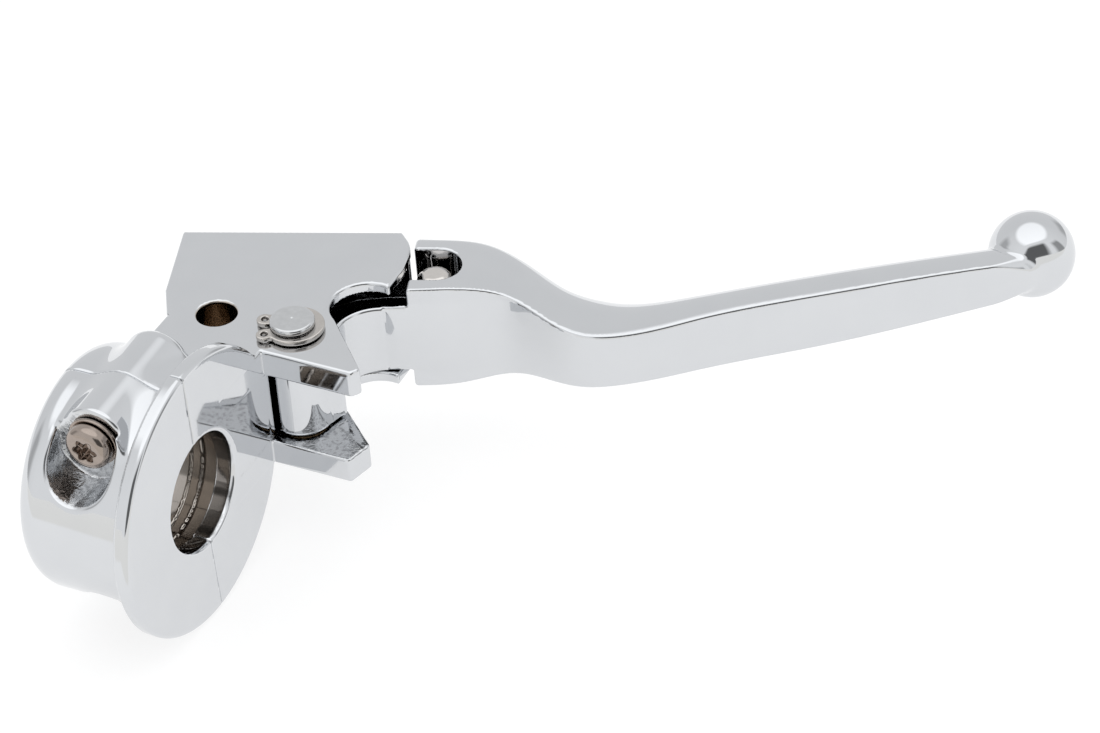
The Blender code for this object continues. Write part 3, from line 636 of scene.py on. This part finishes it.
def perch_bracket(x, y, z):
    """The bracket with its half of the handlebar clamp, in one casting."""
    height = slab(z, EAR_BOTTOM_Z, EAR_TOP_Z)
    plates = np.minimum(plate_plan(x, y), web_plan(x, y))
    body = np.minimum(rounded_common(plates, height, PLATE_ROUND), ears(x, y, z, height))
    body = rounded_cut(body, np.maximum(front_gap(x, z), y - SCALLOP_CENTRE[1]), 0.4)
    clamp = rounded_union(clamp_body(x, y, z), screw_boss(x, y, z), BOSS_FILLET)
    body = rounded_union(body, clamp, CLAMP_FILLET * ramp(-x, 2, 6))
    body = rounded_cut(body, bar_bore(x, y, z), BORE_ROUND)
    body = rounded_common(body, PARTING_Y + PARTING_GAP / 2 - lean(y, z)[0], PARTING_ROUND)
    body = rounded_cut(body, lever_gap(x, y, z), 0.4)
    step = np.maximum(np.maximum(z - THIN_BOTTOM_Z, behind_pivot(x, y)), 30 - y)
    body = rounded_cut(body, step, 0.5)
    body = rounded_cut(body, disc(x, y, MIRROR_HOLE, MIRROR_HOLE_RADIUS), 0.5)
    body = rounded_cut(body, disc(x, y, PIVOT, PIN_RADIUS + FIT_GAP), 0.3)
    body = rounded_cut(body, cable_inlet(x, y, z), 0.6)
    for screw_z, reach in ((UPPER_SCREW_Z, UPPER_SCREW_REACH), (LOWER_SCREW_Z, LOWER_SCREW_REACH)):
        hole = screw_hole(x, y, z, screw_z, -5, reach + 1)
        body = rounded_cut(body, hole, SCREW_HOLE_ROUND)
    return body


def bracket_marks(x, y, z):
    """Thin brown plating in the bores, very dark painted shade far inside the lever's gap and on the cable
    inlet's wall, painted dark reflections and shade in the bar's bore, and skin left as cast.
    """
    depth = -np.minimum(np.minimum(plate_plan(x, y), ear_plan(x, y, z)), web_plan(x, y))
    gap = on_wall(np.minimum(lever_gap(x, y, z), front_gap(x, z)), -0.15, -0.03)
    mirror = on_wall(disc(x, y, MIRROR_HOLE, MIRROR_HOLE_RADIUS), -0.3, -0.1)
    inlet = on_wall(cable_inlet(x, y, z), -0.4, -0.15)
    # Painted shade: a very dark colour far inside the lever's gap, above its lower ear, and on the cable
    # inlet's wall
    painted_shade = np.maximum(gap * ramp(depth, 3.0, 9.0) * ramp(z, -5.0, -3.0), 0.8 * inlet)
    painted_shade = np.maximum(painted_shade, bore_painted_dark(x, y, z))
    cast = gap * ramp(-z, 5.5, 6.2)
    return {"bare": np.maximum(bore_mark(x, y, z), mirror), "cast": cast, "painted_shade": painted_shade}


# ---------------------------------------------------------------- lever

class Spline:
    """A natural cubic spline, which has no kinks for a reflection to show."""

    def __init__(self, knots, values):
        self.knots, self.values = np.array(knots), np.array(values, float)
        gap = np.diff(self.knots)
        count = len(self.knots)
        matrix, right = np.eye(count), np.zeros_like(self.values)
        for i in range(1, count - 1):
            matrix[i, i - 1:i + 2] = gap[i - 1] / 6, (gap[i - 1] + gap[i]) / 3, gap[i] / 6
            rise = (self.values[i + 1] - self.values[i]) / gap[i]
            right[i] = rise - (self.values[i] - self.values[i - 1]) / gap[i - 1]
        self.bend = np.linalg.solve(matrix, right)

    def at(self, place):
        """Values and slopes at places along the spline, which runs on straight past its ends."""
        index = np.clip(np.searchsorted(self.knots, place) - 1, 0, len(self.knots) - 2)
        gap = self.knots[index + 1] - self.knots[index]
        b = ((place - self.knots[index]) / gap)[:, None]
        a = 1 - b
        gap = gap[:, None]
        low, high = self.values[index], self.values[index + 1]
        bend_low, bend_high = self.bend[index], self.bend[index + 1]
        bow = (a ** 3 - a) * bend_low + (b ** 3 - b) * bend_high
        turn = (3 * b ** 2 - 1) * bend_high - (3 * a ** 2 - 1) * bend_low
        value = a * low + b * high + bow * gap ** 2 / 6
        slope = (high - low) / gap + turn * gap / 6
        return value, slope


STATION_POINTS = np.array([(*front, *back) for front, back, _, _, _ in LEVER_STATIONS])
MIDLINE = (STATION_POINTS[:, :2] + STATION_POINTS[:, 2:]) / 2
STATION_PLACES = np.append(0, np.cumsum(np.linalg.norm(np.diff(MIDLINE, axis=0), axis=1)))
LEVER_LENGTH = STATION_PLACES[-1]
EDGES = Spline(STATION_PLACES, STATION_POINTS)
SHAPE = Spline(STATION_PLACES, [(height, 1 / square, crest)
                                for _, _, height, square, crest in LEVER_STATIONS])
GUIDES = np.linspace(-8, LEVER_LENGTH + 14, 45)
GUIDE_EDGES = EDGES.at(GUIDES)[0]


def crosswise(a, b):
    """The cross product of two directions in the plane."""
    return a[..., 0] * b[..., 1] - a[..., 1] * b[..., 0]


def lever_place(x, y):
    """Distance along the lever, distance behind its rider's face, and its width there."""
    point = np.stack([x, y], -1)
    guide_across = GUIDE_EDGES[:, 2:] - GUIDE_EDGES[:, :2]
    ahead = crosswise(guide_across, point[:, None] - GUIDE_EDGES[:, :2]) < 0
    place = GUIDES[np.clip(ahead.sum(1) - 1, 0, len(GUIDES) - 1)] + (GUIDES[1] - GUIDES[0]) / 2
    for _ in range(4):
        edges, slopes = EDGES.at(place)
        front, across = edges[:, :2], edges[:, 2:] - edges[:, :2]
        turn = slopes[:, 2:] - slopes[:, :2]
        miss = crosswise(across, point - front)
        rate = crosswise(turn, point - front) - crosswise(across, slopes[:, :2])
        place = np.clip(place - miss / rate, GUIDES[0], GUIDES[-1])
    width = np.hypot(across[:, 0], across[:, 1])
    behind = ((point - front) * across).sum(1) / width
    return place, behind, width


def lever_dome(z, place, behind, width):
    """The lever's long body, domed on top, below and behind; cut flat later by the rider's face."""
    shape = SHAPE.at(place)[0]
    half_height, crest = np.maximum(shape[:, 0], 2), np.maximum(shape[:, 2], 0)
    square = 1 / shape[:, 1]
    spread = np.where(behind < crest, FRONT_SPREAD, width - crest)
    reach = np.maximum(abs(behind - crest) / spread, 1e-3)
    rise = np.maximum(abs(z - LEVER_Z) / half_height, 1e-3)
    total = reach ** square + rise ** square
    steepness = np.hypot(reach ** (square - 1) / spread, rise ** (square - 1) / half_height)
    steepness = steepness * total ** (1 / square - 1)
    return (total ** (1 / square) - 1) / steepness


def rider_face(z, behind):
    """The lever's front: almost flat, with a slight crown."""
    return FACE_CROWN * np.minimum(abs(z - LEVER_Z) / 6, 1.5) ** 2 - behind


def lever_arm(x, y, z):
    """The thin arm between the hub and the block, with its hub."""
    block_front, block_back = along_cable(BLOCK_U + 4, 45), along_cable(BLOCK_U + 4, 54.4)
    plan = convex(x, y, [
        (PIVOT[0] + 6.4, 37.9, 0), (*block_front, 0), (*block_back, 0), (11.5, 62.0, 4), (5.5, 58.6, 8),
        (0.5, 53.0, 8), (-1.8, 46.0, 4), (PIVOT[0] - 6.4, 37.9, 0)])
    plan = rounded_cut(plan, disc(x, y, ARM_HOLLOW_CENTRE, ARM_HOLLOW_RADIUS), 0.2)
    plan = rounded_union(plan, disc(x, y, PIVOT, HUB_RADIUS), 2.0)
    return rounded_common(plan, slab(z, ARM_BOTTOM_Z, ARM_TOP_Z), 0.8)


def cable_slot(x, y, z):
    """The stadium-shaped slot that the cable lies in, open at the inboard end."""
    u, v = cable_frame(x, y)
    end = np.maximum(u - SLOT_END_U + SLOT_HALF_WIDTH, 0)
    walls = np.hypot(end, v - CABLE_V) - SLOT_HALF_WIDTH
    return rounded_common(np.maximum(walls, BLOCK_U - 8 - u), SLOT_FLOOR_Z - z, 0.8)


def clutch_lever(x, y, z):
    """Hub, arm, block, blade and ball end, forged in one piece."""
    place, behind, width = lever_place(x, y)
    blade = rounded_common(lever_dome(z, place, behind, width), place - LEVER_LENGTH - 2, 4.0)
    ball = np.sqrt((x - BALL_CENTRE[0]) ** 2 + (y - BALL_CENTRE[1]) ** 2 + (z - BALL_CENTRE[2]) ** 2)
    lever = rounded_union(blade, ball - BALL_RADIUS, 0.7)
    lever = rounded_common(lever, -place, 0.8)
    lever = rounded_union(lever, lever_arm(x, y, z), 0.5)
    edge = FACE_EDGE + TIP_EDGE * ramp(place, LEVER_LENGTH - 9, LEVER_LENGTH + 1)
    lever = rounded_common(lever, np.minimum(rider_face(z, behind), x - ARM_FRONT_X), edge)
    lever = rounded_cut(lever, cable_slot(x, y, z), 0.45)
    bore = disc(x, y, PIVOT, PIN_RADIUS + 2 * FIT_GAP + BUSHING_WALL)
    lever = rounded_cut(lever, bore, 0.3)
    hole = np.maximum(disc(x, y, ANCHOR, ANCHOR_STEM_RADIUS + FIT_GAP), z - 10)
    return rounded_cut(lever, hole, 0.3)


def lever_marks(x, y, z):
    """The slot keeps a darker, thinner plating."""
    slot = on_wall(cable_slot(x, y, z), -0.5, -0.2) * ramp(LEVER_TOP_Z - z, 1.0, 4.0)
    return {"bare": 0.2 * slot, "cast": 0 * x, "painted_shade": 0 * x}


# ---------------------------------------------------------------- hardware

def screw(x, y, z, screw_z, seat_y, reach):
    """A button-head screw with a six-lobed socket, running along +Y from its head."""
    y, z = lean(y, z)
    radius, angle = np.hypot(x - SCREW_X, z - screw_z), np.arctan2(z - screw_z, x - SCREW_X)
    under_head = seat_y - WASHER_THICKNESS - 2 * FIT_GAP
    top = under_head - SCREW_HEAD_HEIGHT
    head = rounded_common(radius - SCREW_HEAD_RADIUS, top - y, SCREW_CROWN)
    head = rounded_common(head, y - under_head, 0.25)
    turns = y / THREAD_PITCH - angle / (2 * math.pi)
    ridge = abs(turns - np.round(turns)) * 2 * THREAD_DEPTH * ramp(y, under_head + 3, under_head + 4)
    shank = rounded_common((radius - SCREW_RADIUS + ridge) * THREAD_SLOPE, y - reach, 0.5)
    shank = np.maximum(shank, under_head - 1 - y)
    lobes = radius - SOCKET_RADIUS - SOCKET_LOBE * np.cos(6 * angle)
    socket = rounded_common(lobes * LOBE_SLOPE, y - top - SOCKET_DEPTH, 0.2)
    return rounded_cut(rounded_union(head, shank, 0.3), socket, 0.12)


def washer(x, y, z, screw_z, seat_y):
    """A flat washer between a screw's head and its seat."""
    y, z = lean(y, z)
    radius = np.hypot(x - SCREW_X, z - screw_z)
    ring = slab(radius, SCREW_RADIUS + FIT_GAP, WASHER_RADIUS)
    return rounded_common(ring, slab(y, seat_y - WASHER_THICKNESS - FIT_GAP, seat_y - FIT_GAP), 0.18)


def pivot_pin(x, y, z):
    """A headed pin from below, with a groove for the retaining ring near its top."""
    radius = disc(x, y, PIVOT, 0)
    shaft = rounded_common(radius - PIN_RADIUS, z - PIN_HIGH[2], 0.6)
    groove_height = slab(z, RING_LOW[2] - FIT_GAP, RING_HIGH[2] + FIT_GAP)
    groove = np.maximum(RING_GROOVE_RADIUS - radius, groove_height)
    shaft = rounded_cut(shaft, groove, 0.12)
    head = rounded_common(radius - PIN_HEAD_RADIUS, PIN_LOW[2] - z, 0.5)
    head = rounded_common(head, z - EAR_BOTTOM_Z + FIT_GAP, 0.2)
    pin = rounded_union(np.maximum(shaft, PIN_LOW[2] + 0.5 - z), head, 0.15)
    dimple = np.hypot(radius, z - PIN_HIGH[2] - PIN_DIMPLE_RISE) - PIN_DIMPLE_RADIUS
    return rounded_cut(pin, dimple, 0.1)


def retaining_ring(x, y, z):
    """An external snap ring: a band that is open between its two eyes."""
    away = (math.cos(RING_GAP_ANGLE), math.sin(RING_GAP_ANGLE))
    centre = (PIVOT[0] - RING_SHIFT * away[0], PIVOT[1] - RING_SHIFT * away[1])
    band = disc(x, y, centre, RING_RADIUS - RING_SHIFT)
    holes = []
    for side in (-1, 1):
        angle = RING_GAP_ANGLE + side * RING_EYE_ANGLE
        centre = (PIVOT[0] + RING_EYE_DISTANCE * math.cos(angle),
                  PIVOT[1] + RING_EYE_DISTANCE * math.sin(angle))
        band = rounded_union(band, disc(x, y, centre, RING_EYE_RADIUS), 0.6)
        holes.append(disc(x, y, centre, RING_EYE_HOLE))
    band = rounded_cut(band, disc(x, y, PIVOT, RING_GROOVE_RADIUS + FIT_GAP), 0.1)
    along = (x - PIVOT[0]) * away[0] + (y - PIVOT[1]) * away[1]
    aside = abs((y - PIVOT[1]) * away[0] - (x - PIVOT[0]) * away[1])
    band = rounded_cut(band, np.maximum(aside - RING_GAP_HALF_WIDTH, -along), 0.25)
    ring = rounded_common(band, slab(z, RING_LOW[2], RING_HIGH[2]), 0.22)
    return rounded_cut(ring, np.minimum(*holes), 0.15)


def pivot_bushing(x, y, z):
    """A thin sleeve between the lever's hub and the pin."""
    radius = disc(x, y, PIVOT, 0)
    inner = PIN_RADIUS + FIT_GAP
    wall = slab(radius, inner, inner + BUSHING_WALL)
    return rounded_common(wall, slab(z, ARM_BOTTOM_Z, ARM_TOP_Z), 0.12)


def anchor_pin(x, y, z):
    """The swivelling barrel that the cable's end hooks into."""
    radius = disc(x, y, ANCHOR, 0)
    shoulder = SLOT_FLOOR_Z + FIT_GAP
    barrel = rounded_common(radius - ANCHOR_RADIUS, z - ANCHOR_HIGH[2], 2.2)
    barrel = rounded_common(barrel, shoulder - z, 0.2)
    stem = rounded_common(radius - ANCHOR_STEM_RADIUS, ANCHOR_LOW[2] - z, 0.4)
    pin = rounded_union(barrel, np.maximum(stem, z - shoulder - 1), 0.15)
    wire = np.hypot(cable_frame(x, y)[1] - CABLE_V, z - CABLE_Z) - ANCHOR_WIRE_HOLE
    return rounded_cut(pin, wire, 0.2)


# ---------------------------------------------------------------- materials

def shader_nodes(name, colour, roughness):
    """A new metal, with its node tree and its shader."""
    material = bpy.data.materials.new(name)
    material.use_nodes = True
    tree = material.node_tree
    shader = tree.nodes["Principled BSDF"]
    shader.inputs["Base Color"].default_value = (*colour, 1)
    shader.inputs["Roughness"].default_value = roughness
    shader.inputs["Metallic"].default_value = 1.0
    return material, tree, shader


def add(tree, kind, **settings):
    """A new node, with its properties set by name."""
    node = tree.nodes.new(kind)
    for key, value in settings.items():
        setattr(node, key, value)
    return node


def noise(tree, scale, detail=3.0, rough=0.5):
    """Noise at a size given in millimetres, in the object's own space."""
    place = add(tree, "ShaderNodeTexCoord").outputs["Object"]
    node = add(tree, "ShaderNodeTexNoise")
    node.inputs["Scale"].default_value = 1 / (scale * MM)
    node.inputs["Detail"].default_value = detail
    node.inputs["Roughness"].default_value = rough
    tree.links.new(place, node.inputs["Vector"])
    return node.outputs["Fac"]


def remap(tree, value, low, high, to_low, to_high):
    """A value moved from one range to another, and held inside it."""
    node = add(tree, "ShaderNodeMapRange")
    numbers = {"From Min": low, "From Max": high, "To Min": to_low, "To Max": to_high}
    for key, number in numbers.items():
        node.inputs[key].default_value = number
    tree.links.new(value, node.inputs["Value"])
    return node.outputs["Result"]


def mix_colour(tree, factor, first, second):
    """Two colours mixed by a factor; each is a constant or a socket."""
    node = add(tree, "ShaderNodeMix", data_type="RGBA")
    tree.links.new(factor, node.inputs[0])
    for socket, colour in ((node.inputs[6], first), (node.inputs[7], second)):
        if isinstance(colour, tuple):
            socket.default_value = (*colour, 1)
        else:
            tree.links.new(colour, socket)
    return node.outputs[2]


def maths(tree, operation, first, second):
    """An operation on two numbers; each is a constant or a socket."""
    node = add(tree, "ShaderNodeMath", operation=operation)
    for socket, value in zip(node.inputs, (first, second)):
        if isinstance(value, float):
            socket.default_value = value
        else:
            tree.links.new(value, socket)
    return node.outputs["Value"]


def read_mark(tree, name):
    """A value that mark() stored."""
    return add(tree, "ShaderNodeAttribute", attribute_name=name).outputs["Fac"]


def bump(tree, height, strength, distance, after=None):
    """A bumped normal, with its height given in millimetres."""
    node = add(tree, "ShaderNodeBump")
    node.inputs["Distance"].default_value = distance * MM
    tree.links.new(height, node.inputs["Height"])
    if isinstance(strength, float):
        node.inputs["Strength"].default_value = strength
    else:
        tree.links.new(strength, node.inputs["Strength"])
    if after is not None:
        tree.links.new(after, node.inputs["Normal"])
    return node.outputs["Normal"]


def chrome():
    """Bright chrome over polished castings, thin and brown inside, pitted where left as cast, with very
    dark painted shade and painted dark reflections laid over it in bores and gaps.
    """
    material, tree, shader = shader_nodes("polished_chrome", (0.66, 0.67, 0.69), 0.05)
    bare, cast, painted_shade = (read_mark(tree, name) for name in ("bare", "cast", "painted_shade"))
    cloud = noise(tree, 9.0)
    bright = mix_colour(tree, cloud, (0.640, 0.652, 0.672), (0.675, 0.687, 0.703))
    grain = remap(tree, noise(tree, 1.1, 3.0, 0.6), 0.36, 0.5, 0.0, 1.0)
    skin = mix_colour(tree, grain, (0.24, 0.24, 0.25), (0.64, 0.65, 0.66))
    plated = mix_colour(tree, maths(tree, "MULTIPLY", cast, 0.55), bright, skin)
    inside = mix_colour(tree, noise(tree, 2.5), (0.42, 0.36, 0.30), (0.54, 0.47, 0.40))
    inner = mix_colour(tree, bare, plated, inside)
    # Painted shade: a very dark colour laid over the metal in recesses, and as painted dark reflections in
    # the bar's bore
    painted_shade_colour = mix_colour(tree, noise(tree, 2.5), (0.020, 0.017, 0.014), (0.05, 0.042, 0.034))
    tree.links.new(mix_colour(tree, painted_shade, inner, painted_shade_colour), shader.inputs["Base Color"])
    polish = remap(tree, noise(tree, 3.0), 0.3, 0.7, 0.035, 0.06)
    rough = maths(tree, "ADD", polish, maths(tree, "MULTIPLY", cast, 0.06))
    rough = maths(tree, "ADD", rough, maths(tree, "MULTIPLY", bare, 0.05))
    rough = maths(tree, "ADD", rough, maths(tree, "MULTIPLY", painted_shade, 0.25))
    tree.links.new(rough, shader.inputs["Roughness"])
    waves = bump(tree, noise(tree, 14.0, 1.0), 0.10, 0.5)
    pits = bump(tree, noise(tree, 1.3, 3.0, 0.6), maths(tree, "MULTIPLY", cast, 0.45), 0.30, waves)
    tree.links.new(pits, shader.inputs["Normal"])
    return material


def nickel(name, colour, roughness, grain=0.15):
    """Nickel-plated steel: warmer than chrome, with fine marks from the tool."""
    material, tree, shader = shader_nodes(name, colour, roughness)
    worn = tuple(0.82 * c for c in colour)
    tree.links.new(mix_colour(tree, noise(tree, 1.2), worn, colour), shader.inputs["Base Color"])
    rough = remap(tree, noise(tree, 0.6), 0.3, 0.7, roughness * 0.7, roughness * 1.4)
    tree.links.new(rough, shader.inputs["Roughness"])
    tree.links.new(bump(tree, noise(tree, 0.35), grain, 0.05), shader.inputs["Normal"])
    return material


# ---------------------------------------------------------------- the assembly

CHROME = chrome()
SCREW_NICKEL = nickel("screw_nickel", (0.40, 0.34, 0.30), 0.08)
RING_NICKEL = nickel("ring_nickel", (0.60, 0.57, 0.54), 0.12)
PIN_STEEL = nickel("pin_steel", (0.66, 0.67, 0.68), 0.05, 0.02)
ANCHOR_NICKEL = nickel("anchor_nickel", (0.72, 0.69, 0.66), 0.06)
BRONZE = nickel("bushing_bronze", (0.45, 0.30, 0.16), 0.35)

# Grid cells in millimetres, which keep every piece below 200,000 faces
MEDIUM = 0.465
FINE = 0.42
SMALL = 0.18

piece("bracket_casting", perch_bracket, node_box("perch_bracket"), MEDIUM, CHROME, "perch",
      "perch_bracket", bracket_marks)
piece("cap_casting", clamp_cap, node_box("clamp_cap"), FINE, CHROME, "perch",
      "clamp_cap", cap_marks)
piece("lever_forging", clutch_lever, node_box("clutch_lever"), FINE, CHROME, "lever",
      "clutch_lever", lever_marks)
piece("pin", pivot_pin, node_box("pivot_pin"), SMALL, PIN_STEEL, "perch", "pivot_pin")
piece("snap_ring", retaining_ring, node_box("retaining_ring"), SMALL, RING_NICKEL, "perch",
      "retaining_ring")
piece("bushing", pivot_bushing, node_box("pivot_bushing"), SMALL, BRONZE, "lever",
      "pivot_bushing")
piece("cable_anchor", anchor_pin, node_box("anchor_pin"), SMALL, ANCHOR_NICKEL, "anchor",
      "anchor_pin")
SCREWS = (("upper", UPPER_SCREW_Z, UPPER_SEAT_Y, UPPER_SCREW_REACH),
          ("lower", LOWER_SCREW_Z, LOWER_SEAT_Y, LOWER_SCREW_REACH))
for side, screw_z, seat_y, reach in SCREWS:
    piece(f"{side}_button_screw",
          lambda x, y, z: screw(x, y, z, screw_z, seat_y, reach),
          node_box(f"{side}_clamp_screw"), SMALL, SCREW_NICKEL, "perch",
          f"{side}_clamp_screw")
    piece(f"{side}_flat_washer", lambda x, y, z: washer(x, y, z, screw_z, seat_y),
          node_box(f"{side}_clamp_washer"), SMALL, SCREW_NICKEL, "perch",
          f"{side}_clamp_washer")


# ---------------------------------------------------------------- studio

FLOOR_Z = CAD_BOX[0][2] - 0.0003
CAMERA_AZIMUTH = math.radians(-29.4)
CAMERA_ELEVATION = math.radians(37.02)
CAMERA_ROLL = math.radians(-4.98)
CAMERA_TARGET = Vector((0.07218, 0.0200, 0.03818))
CAMERA_DISTANCE = 1.04284
CAMERA_LENS = 172.9

# Brightness of the studio's walls and overhead light.  The light's edge runs between two angles
# from straight up, and each darker patch has azimuths, elevations, strength and softness; all
# angles are in degrees.
WALL_FAR = 0.83
WALL_NEAR = 0.98
OVERHEAD_LIGHT = 0.50
OVERHEAD_START, OVERHEAD_END = 39, 31
WALL_PATCHES = [
    ((-68, -22), (-3, 39), 0.85, 5.0),
    ((-4, 26), (-3, 30), 0.60, 5.0),
    ((-172, -148), (-3, 34), 0.40, 6.0),
    ((60, 84), (-3, 16), 0.35, 5.0),
]

# The floor, which is darker and slightly warmer past the table's edge
FLOOR_SIZE = 3.0
FLOOR_DARK, FLOOR_PALE = (0.29, 0.29, 0.29), (0.31, 0.31, 0.31)
TABLE_GLOW, BEYOND_GLOW = (0.76, 0.76, 0.76), (0.67, 0.66, 0.63)
TABLE_DIRECTION = (0.296, -0.524, 0)
TABLE_EDGE_START, TABLE_EDGE_END = 0.038, 0.043


def camera():
    """The photograph's view."""
    level = math.cos(CAMERA_ELEVATION)
    look = Vector((math.sin(CAMERA_AZIMUTH) * level, math.cos(CAMERA_AZIMUTH) * level,
                   -math.sin(CAMERA_ELEVATION)))
    right = look.cross(Vector((0, 0, 1))).normalized()
    up = right.cross(look)
    cosine, sine = math.cos(CAMERA_ROLL), math.sin(CAMERA_ROLL)
    right, up = right * cosine + up * sine, up * cosine - right * sine
    data = bpy.data.cameras.new("camera")
    data.lens = CAMERA_LENS
    data.sensor_width = 36.0
    data.clip_end = 20
    obj = bpy.data.objects.new("camera", data)
    turn = Matrix((right, up, -look)).transposed().to_4x4()
    obj.matrix_world = Matrix.Translation(CAMERA_TARGET - look * CAMERA_DISTANCE) @ turn
    bpy.context.scene.collection.objects.link(obj)
    bpy.context.scene.camera = obj


def floor():
    """The white table and what lies past its edge."""
    mesh = bpy.data.meshes.new("floor")
    size = FLOOR_SIZE
    corners = [(-size, -size, 0), (size, -size, 0), (size, size, 0), (-size, size, 0)]
    mesh.from_pydata(corners, [], [(0, 1, 2, 3)])
    obj = bpy.data.objects.new("floor", mesh)
    obj.location.z = FLOOR_Z
    bpy.context.scene.collection.objects.link(obj)
    material = bpy.data.materials.new("white_floor")
    material.use_nodes = True
    tree = material.node_tree
    shader = tree.nodes["Principled BSDF"]
    shader.inputs["Roughness"].default_value = 0.9
    shade = mix_colour(tree, noise(tree, 60.0), FLOOR_DARK, FLOOR_PALE)
    tree.links.new(shade, shader.inputs["Base Color"])
    beyond = add(tree, "ShaderNodeVectorMath", operation="DOT_PRODUCT")
    beyond.inputs[1].default_value = TABLE_DIRECTION
    tree.links.new(add(tree, "ShaderNodeTexCoord").outputs["Object"], beyond.inputs[0])
    past = beyond.outputs["Value"]
    table_edge = remap(tree, past, TABLE_EDGE_START, TABLE_EDGE_END, 0.0, 1.0)
    glow = mix_colour(tree, table_edge, TABLE_GLOW, BEYOND_GLOW)
    tree.links.new(glow, shader.inputs["Emission Color"])
    shader.inputs["Emission Strength"].default_value = 1.0
    mesh.materials.append(material)


def sine_of(angle):
    """The sine of an angle in degrees."""
    return math.sin(math.radians(angle))


def patch(tree, azimuth, height, sides, levels, soft):
    """1 inside a patch of the studio's wall, given by azimuths and elevations in degrees."""
    total = None
    for value, (start, end), convert in ((azimuth, sides, math.radians), (height, levels, sine_of)):
        for edge, direction in ((start, 1), (end, -1)):
            low, high = convert(edge - direction * soft), convert(edge + direction * soft)
            factor = remap(tree, value, low, high, 0.0, 1.0)
            total = factor if total is None else maths(tree, "MULTIPLY", total, factor)
    return total


def studio_world():
    """A white studio: pale walls with darker patches, and a large soft light overhead."""
    world = bpy.data.worlds.new("studio")
    bpy.context.scene.world = world
    world.use_nodes = True
    tree = world.node_tree
    place = add(tree, "ShaderNodeTexCoord").outputs["Generated"]
    split = add(tree, "ShaderNodeSeparateXYZ")
    tree.links.new(place, split.inputs[0])
    x, y, z = split.outputs
    azimuth = maths(tree, "ARCTAN2", y, x)
    towards_camera = add(tree, "ShaderNodeVectorMath", operation="DOT_PRODUCT")
    direction = (math.sin(-CAMERA_AZIMUTH), -math.cos(CAMERA_AZIMUTH), 0)
    towards_camera.inputs[1].default_value = direction
    tree.links.new(place, towards_camera.inputs[0])
    wall = remap(tree, towards_camera.outputs["Value"], -0.5, 0.5, WALL_FAR, WALL_NEAR)
    start, end = (math.cos(math.radians(angle)) for angle in (OVERHEAD_START, OVERHEAD_END))
    overhead = remap(tree, z, start, end, 0.0, 1.0)
    light = maths(tree, "ADD", wall, maths(tree, "MULTIPLY", overhead, OVERHEAD_LIGHT))
    for sides, levels, strength, soft in WALL_PATCHES:
        shade = patch(tree, azimuth, z, sides, levels, soft)
        light = maths(tree, "MULTIPLY", light, remap(tree, shade, 0.0, 1.0, 1.0, 1 - strength))
    tree.links.new(light, tree.nodes["Background"].inputs["Strength"])
    tree.nodes["Background"].inputs["Color"].default_value = (0.985, 0.992, 1.0, 1)


camera()
floor()
studio_world()
bpy.context.scene.view_settings.view_transform = "Standard"
